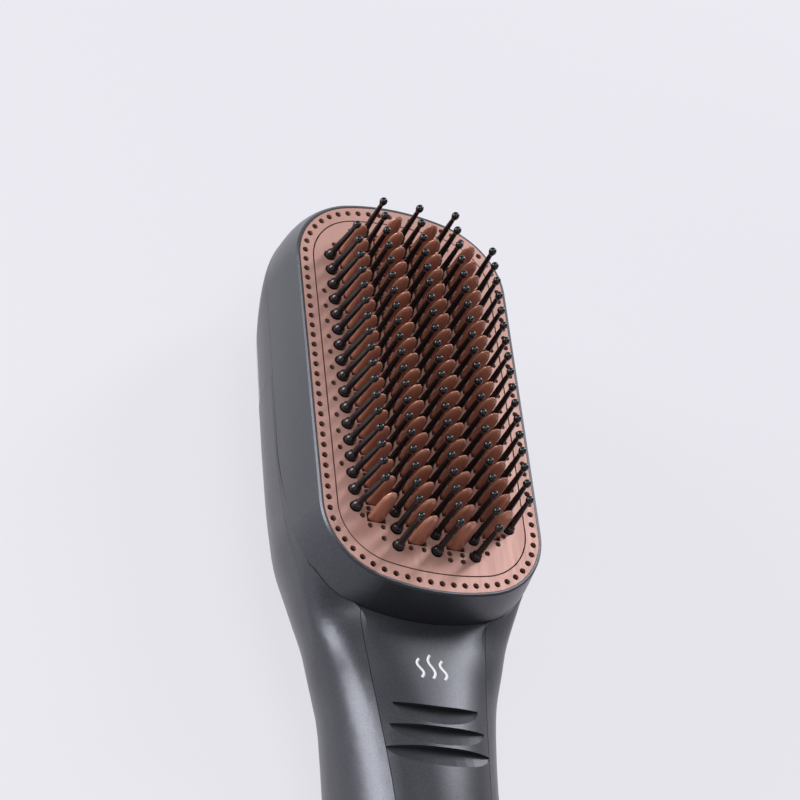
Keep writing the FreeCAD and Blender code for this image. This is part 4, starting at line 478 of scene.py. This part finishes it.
def looked_at(nodes, links, share):
    """A share for rays that see the stage directly, in a reflection or through something clear."""
    path = nodes.new("ShaderNodeLightPath")
    total = path.outputs["Is Camera Ray"]
    for name in ("Is Glossy Ray", "Is Transmission Ray"):
        add = nodes.new("ShaderNodeMath")
        add.operation = "MAXIMUM"
        links.new(total, add.inputs[0])
        links.new(path.outputs[name], add.inputs[1])
        total = add.outputs[0]
    scale = nodes.new("ShaderNodeMath")
    scale.operation = "MULTIPLY"
    scale.inputs[1].default_value = share
    links.new(total, scale.inputs[0])
    return scale.outputs[0]


def make_stage():
    """Pale matt floor that keeps the shadow and looks pale where it is seen."""
    data = bpy.data.meshes.new("floor")
    corners = [(x * FLOOR_HALF, y * FLOOR_HALF, 0) for x, y in ((-1, -1), (1, -1), (1, 1), (-1, 1))]
    data.from_pydata(corners, [], [(0, 1, 2, 3)])
    floor = bpy.data.objects.new("floor", data)
    bpy.context.scene.collection.objects.link(floor)
    mat, nodes, links, shader = new_material("pale_floor")
    shader.inputs["Roughness"].default_value = 0.9
    cloud = noise(nodes, links, 1.3, 1.0)
    shade = ramp(nodes, links, cloud, [(0.3, (0.72, 0.71, 0.76)), (0.7, (0.76, 0.75, 0.80))])
    links.new(shade, shader.inputs["Base Color"])
    glow = nodes.new("ShaderNodeEmission")
    bright = ramp(nodes, links, cloud, [(0.3, (0.80, 0.79, 0.85)), (0.7, (0.86, 0.85, 0.90))])
    links.new(bright, glow.inputs["Color"])
    mix = nodes.new("ShaderNodeMixShader")
    links.new(looked_at(nodes, links, FLOOR_GLOW), mix.inputs["Fac"])
    links.new(shader.outputs["BSDF"], mix.inputs[1])
    links.new(glow.outputs["Emission"], mix.inputs[2])
    links.new(mix.outputs["Shader"], nodes["Material Output"].inputs["Surface"])
    data.materials.append(mat)


def area_light(name, place, target, size, power, colour):
    """A rectangular softbox aimed at a point, in metres."""
    lamp = bpy.data.lights.new(name, "AREA")
    lamp.shape = "RECTANGLE"
    lamp.size, lamp.size_y = size
    lamp.energy = power
    lamp.color = colour
    obj = bpy.data.objects.new(name, lamp)
    bpy.context.scene.collection.objects.link(obj)
    obj.location = place
    obj.rotation_euler = (Vector(target) - Vector(place)).to_track_quat("-Z", "Y").to_euler()


def make_world():
    """Soft light all round; where it is seen, it is pale at the horizon and dark overhead."""
    world = bpy.context.scene.world or bpy.data.worlds.new("world")
    bpy.context.scene.world = world
    world.use_nodes = True
    nodes, links = world.node_tree.nodes, world.node_tree.links
    around = nodes["Background"]
    around.inputs["Color"].default_value = (0.80, 0.82, 0.88, 1.0)
    around.inputs["Strength"].default_value = WORLD_STRENGTH
    seen = nodes.new("ShaderNodeBackground")
    place = nodes.new("ShaderNodeTexCoord")
    split = nodes.new("ShaderNodeSeparateXYZ")
    links.new(place.outputs["Generated"], split.inputs["Vector"])
    sky = [(0.10, (0.80, 0.79, 0.85)), (0.40, (0.24, 0.245, 0.26))]
    links.new(ramp(nodes, links, split.outputs["Z"], sky), seen.inputs["Color"])
    mix = nodes.new("ShaderNodeMixShader")
    links.new(looked_at(nodes, links, 1.0), mix.inputs["Fac"])
    links.new(around.outputs["Background"], mix.inputs[1])
    links.new(seen.outputs["Background"], mix.inputs[2])
    links.new(mix.outputs["Shader"], nodes["World Output"].inputs["Surface"])


def make_camera():
    """The photograph's viewpoint, with its axes squared up before use."""
    data = bpy.data.cameras.new("camera")
    data.sensor_width = CAMERA_SENSOR
    data.lens = CAMERA_LENS
    camera = bpy.data.objects.new("camera", data)
    bpy.context.scene.collection.objects.link(camera)
    right = Vector(CAMERA_RIGHT)
    back = right.cross(Vector(CAMERA_UP)).normalized()
    up = back.cross(right).normalized()
    pose = Matrix((right.normalized(), up, back)).transposed().to_4x4()
    pose.translation = Vector(CAMERA_PLACE) * MM
    camera.matrix_world = pose
    bpy.context.scene.camera = camera


def main():
    bpy.context.scene.view_settings.view_transform = "Standard"
    materials = make_materials()
    dress_nodes(materials)
    for name, (place, lacking, lean) in BRISTLE_COLUMNS.items():
        bristle_strip(name, place, lacking, lean, materials["black"])
    for name, (place, lacking) in FIN_COLUMNS.items():
        fin_comb(name, place, lacking, materials["copper"])
    steam_mark(materials["print"])
    button_marks(materials["print"])
    make_stage()
    make_world()
    for light in LIGHTS:
        area_light(*light)
    make_camera()
    bpy.context.view_layer.update()


main()
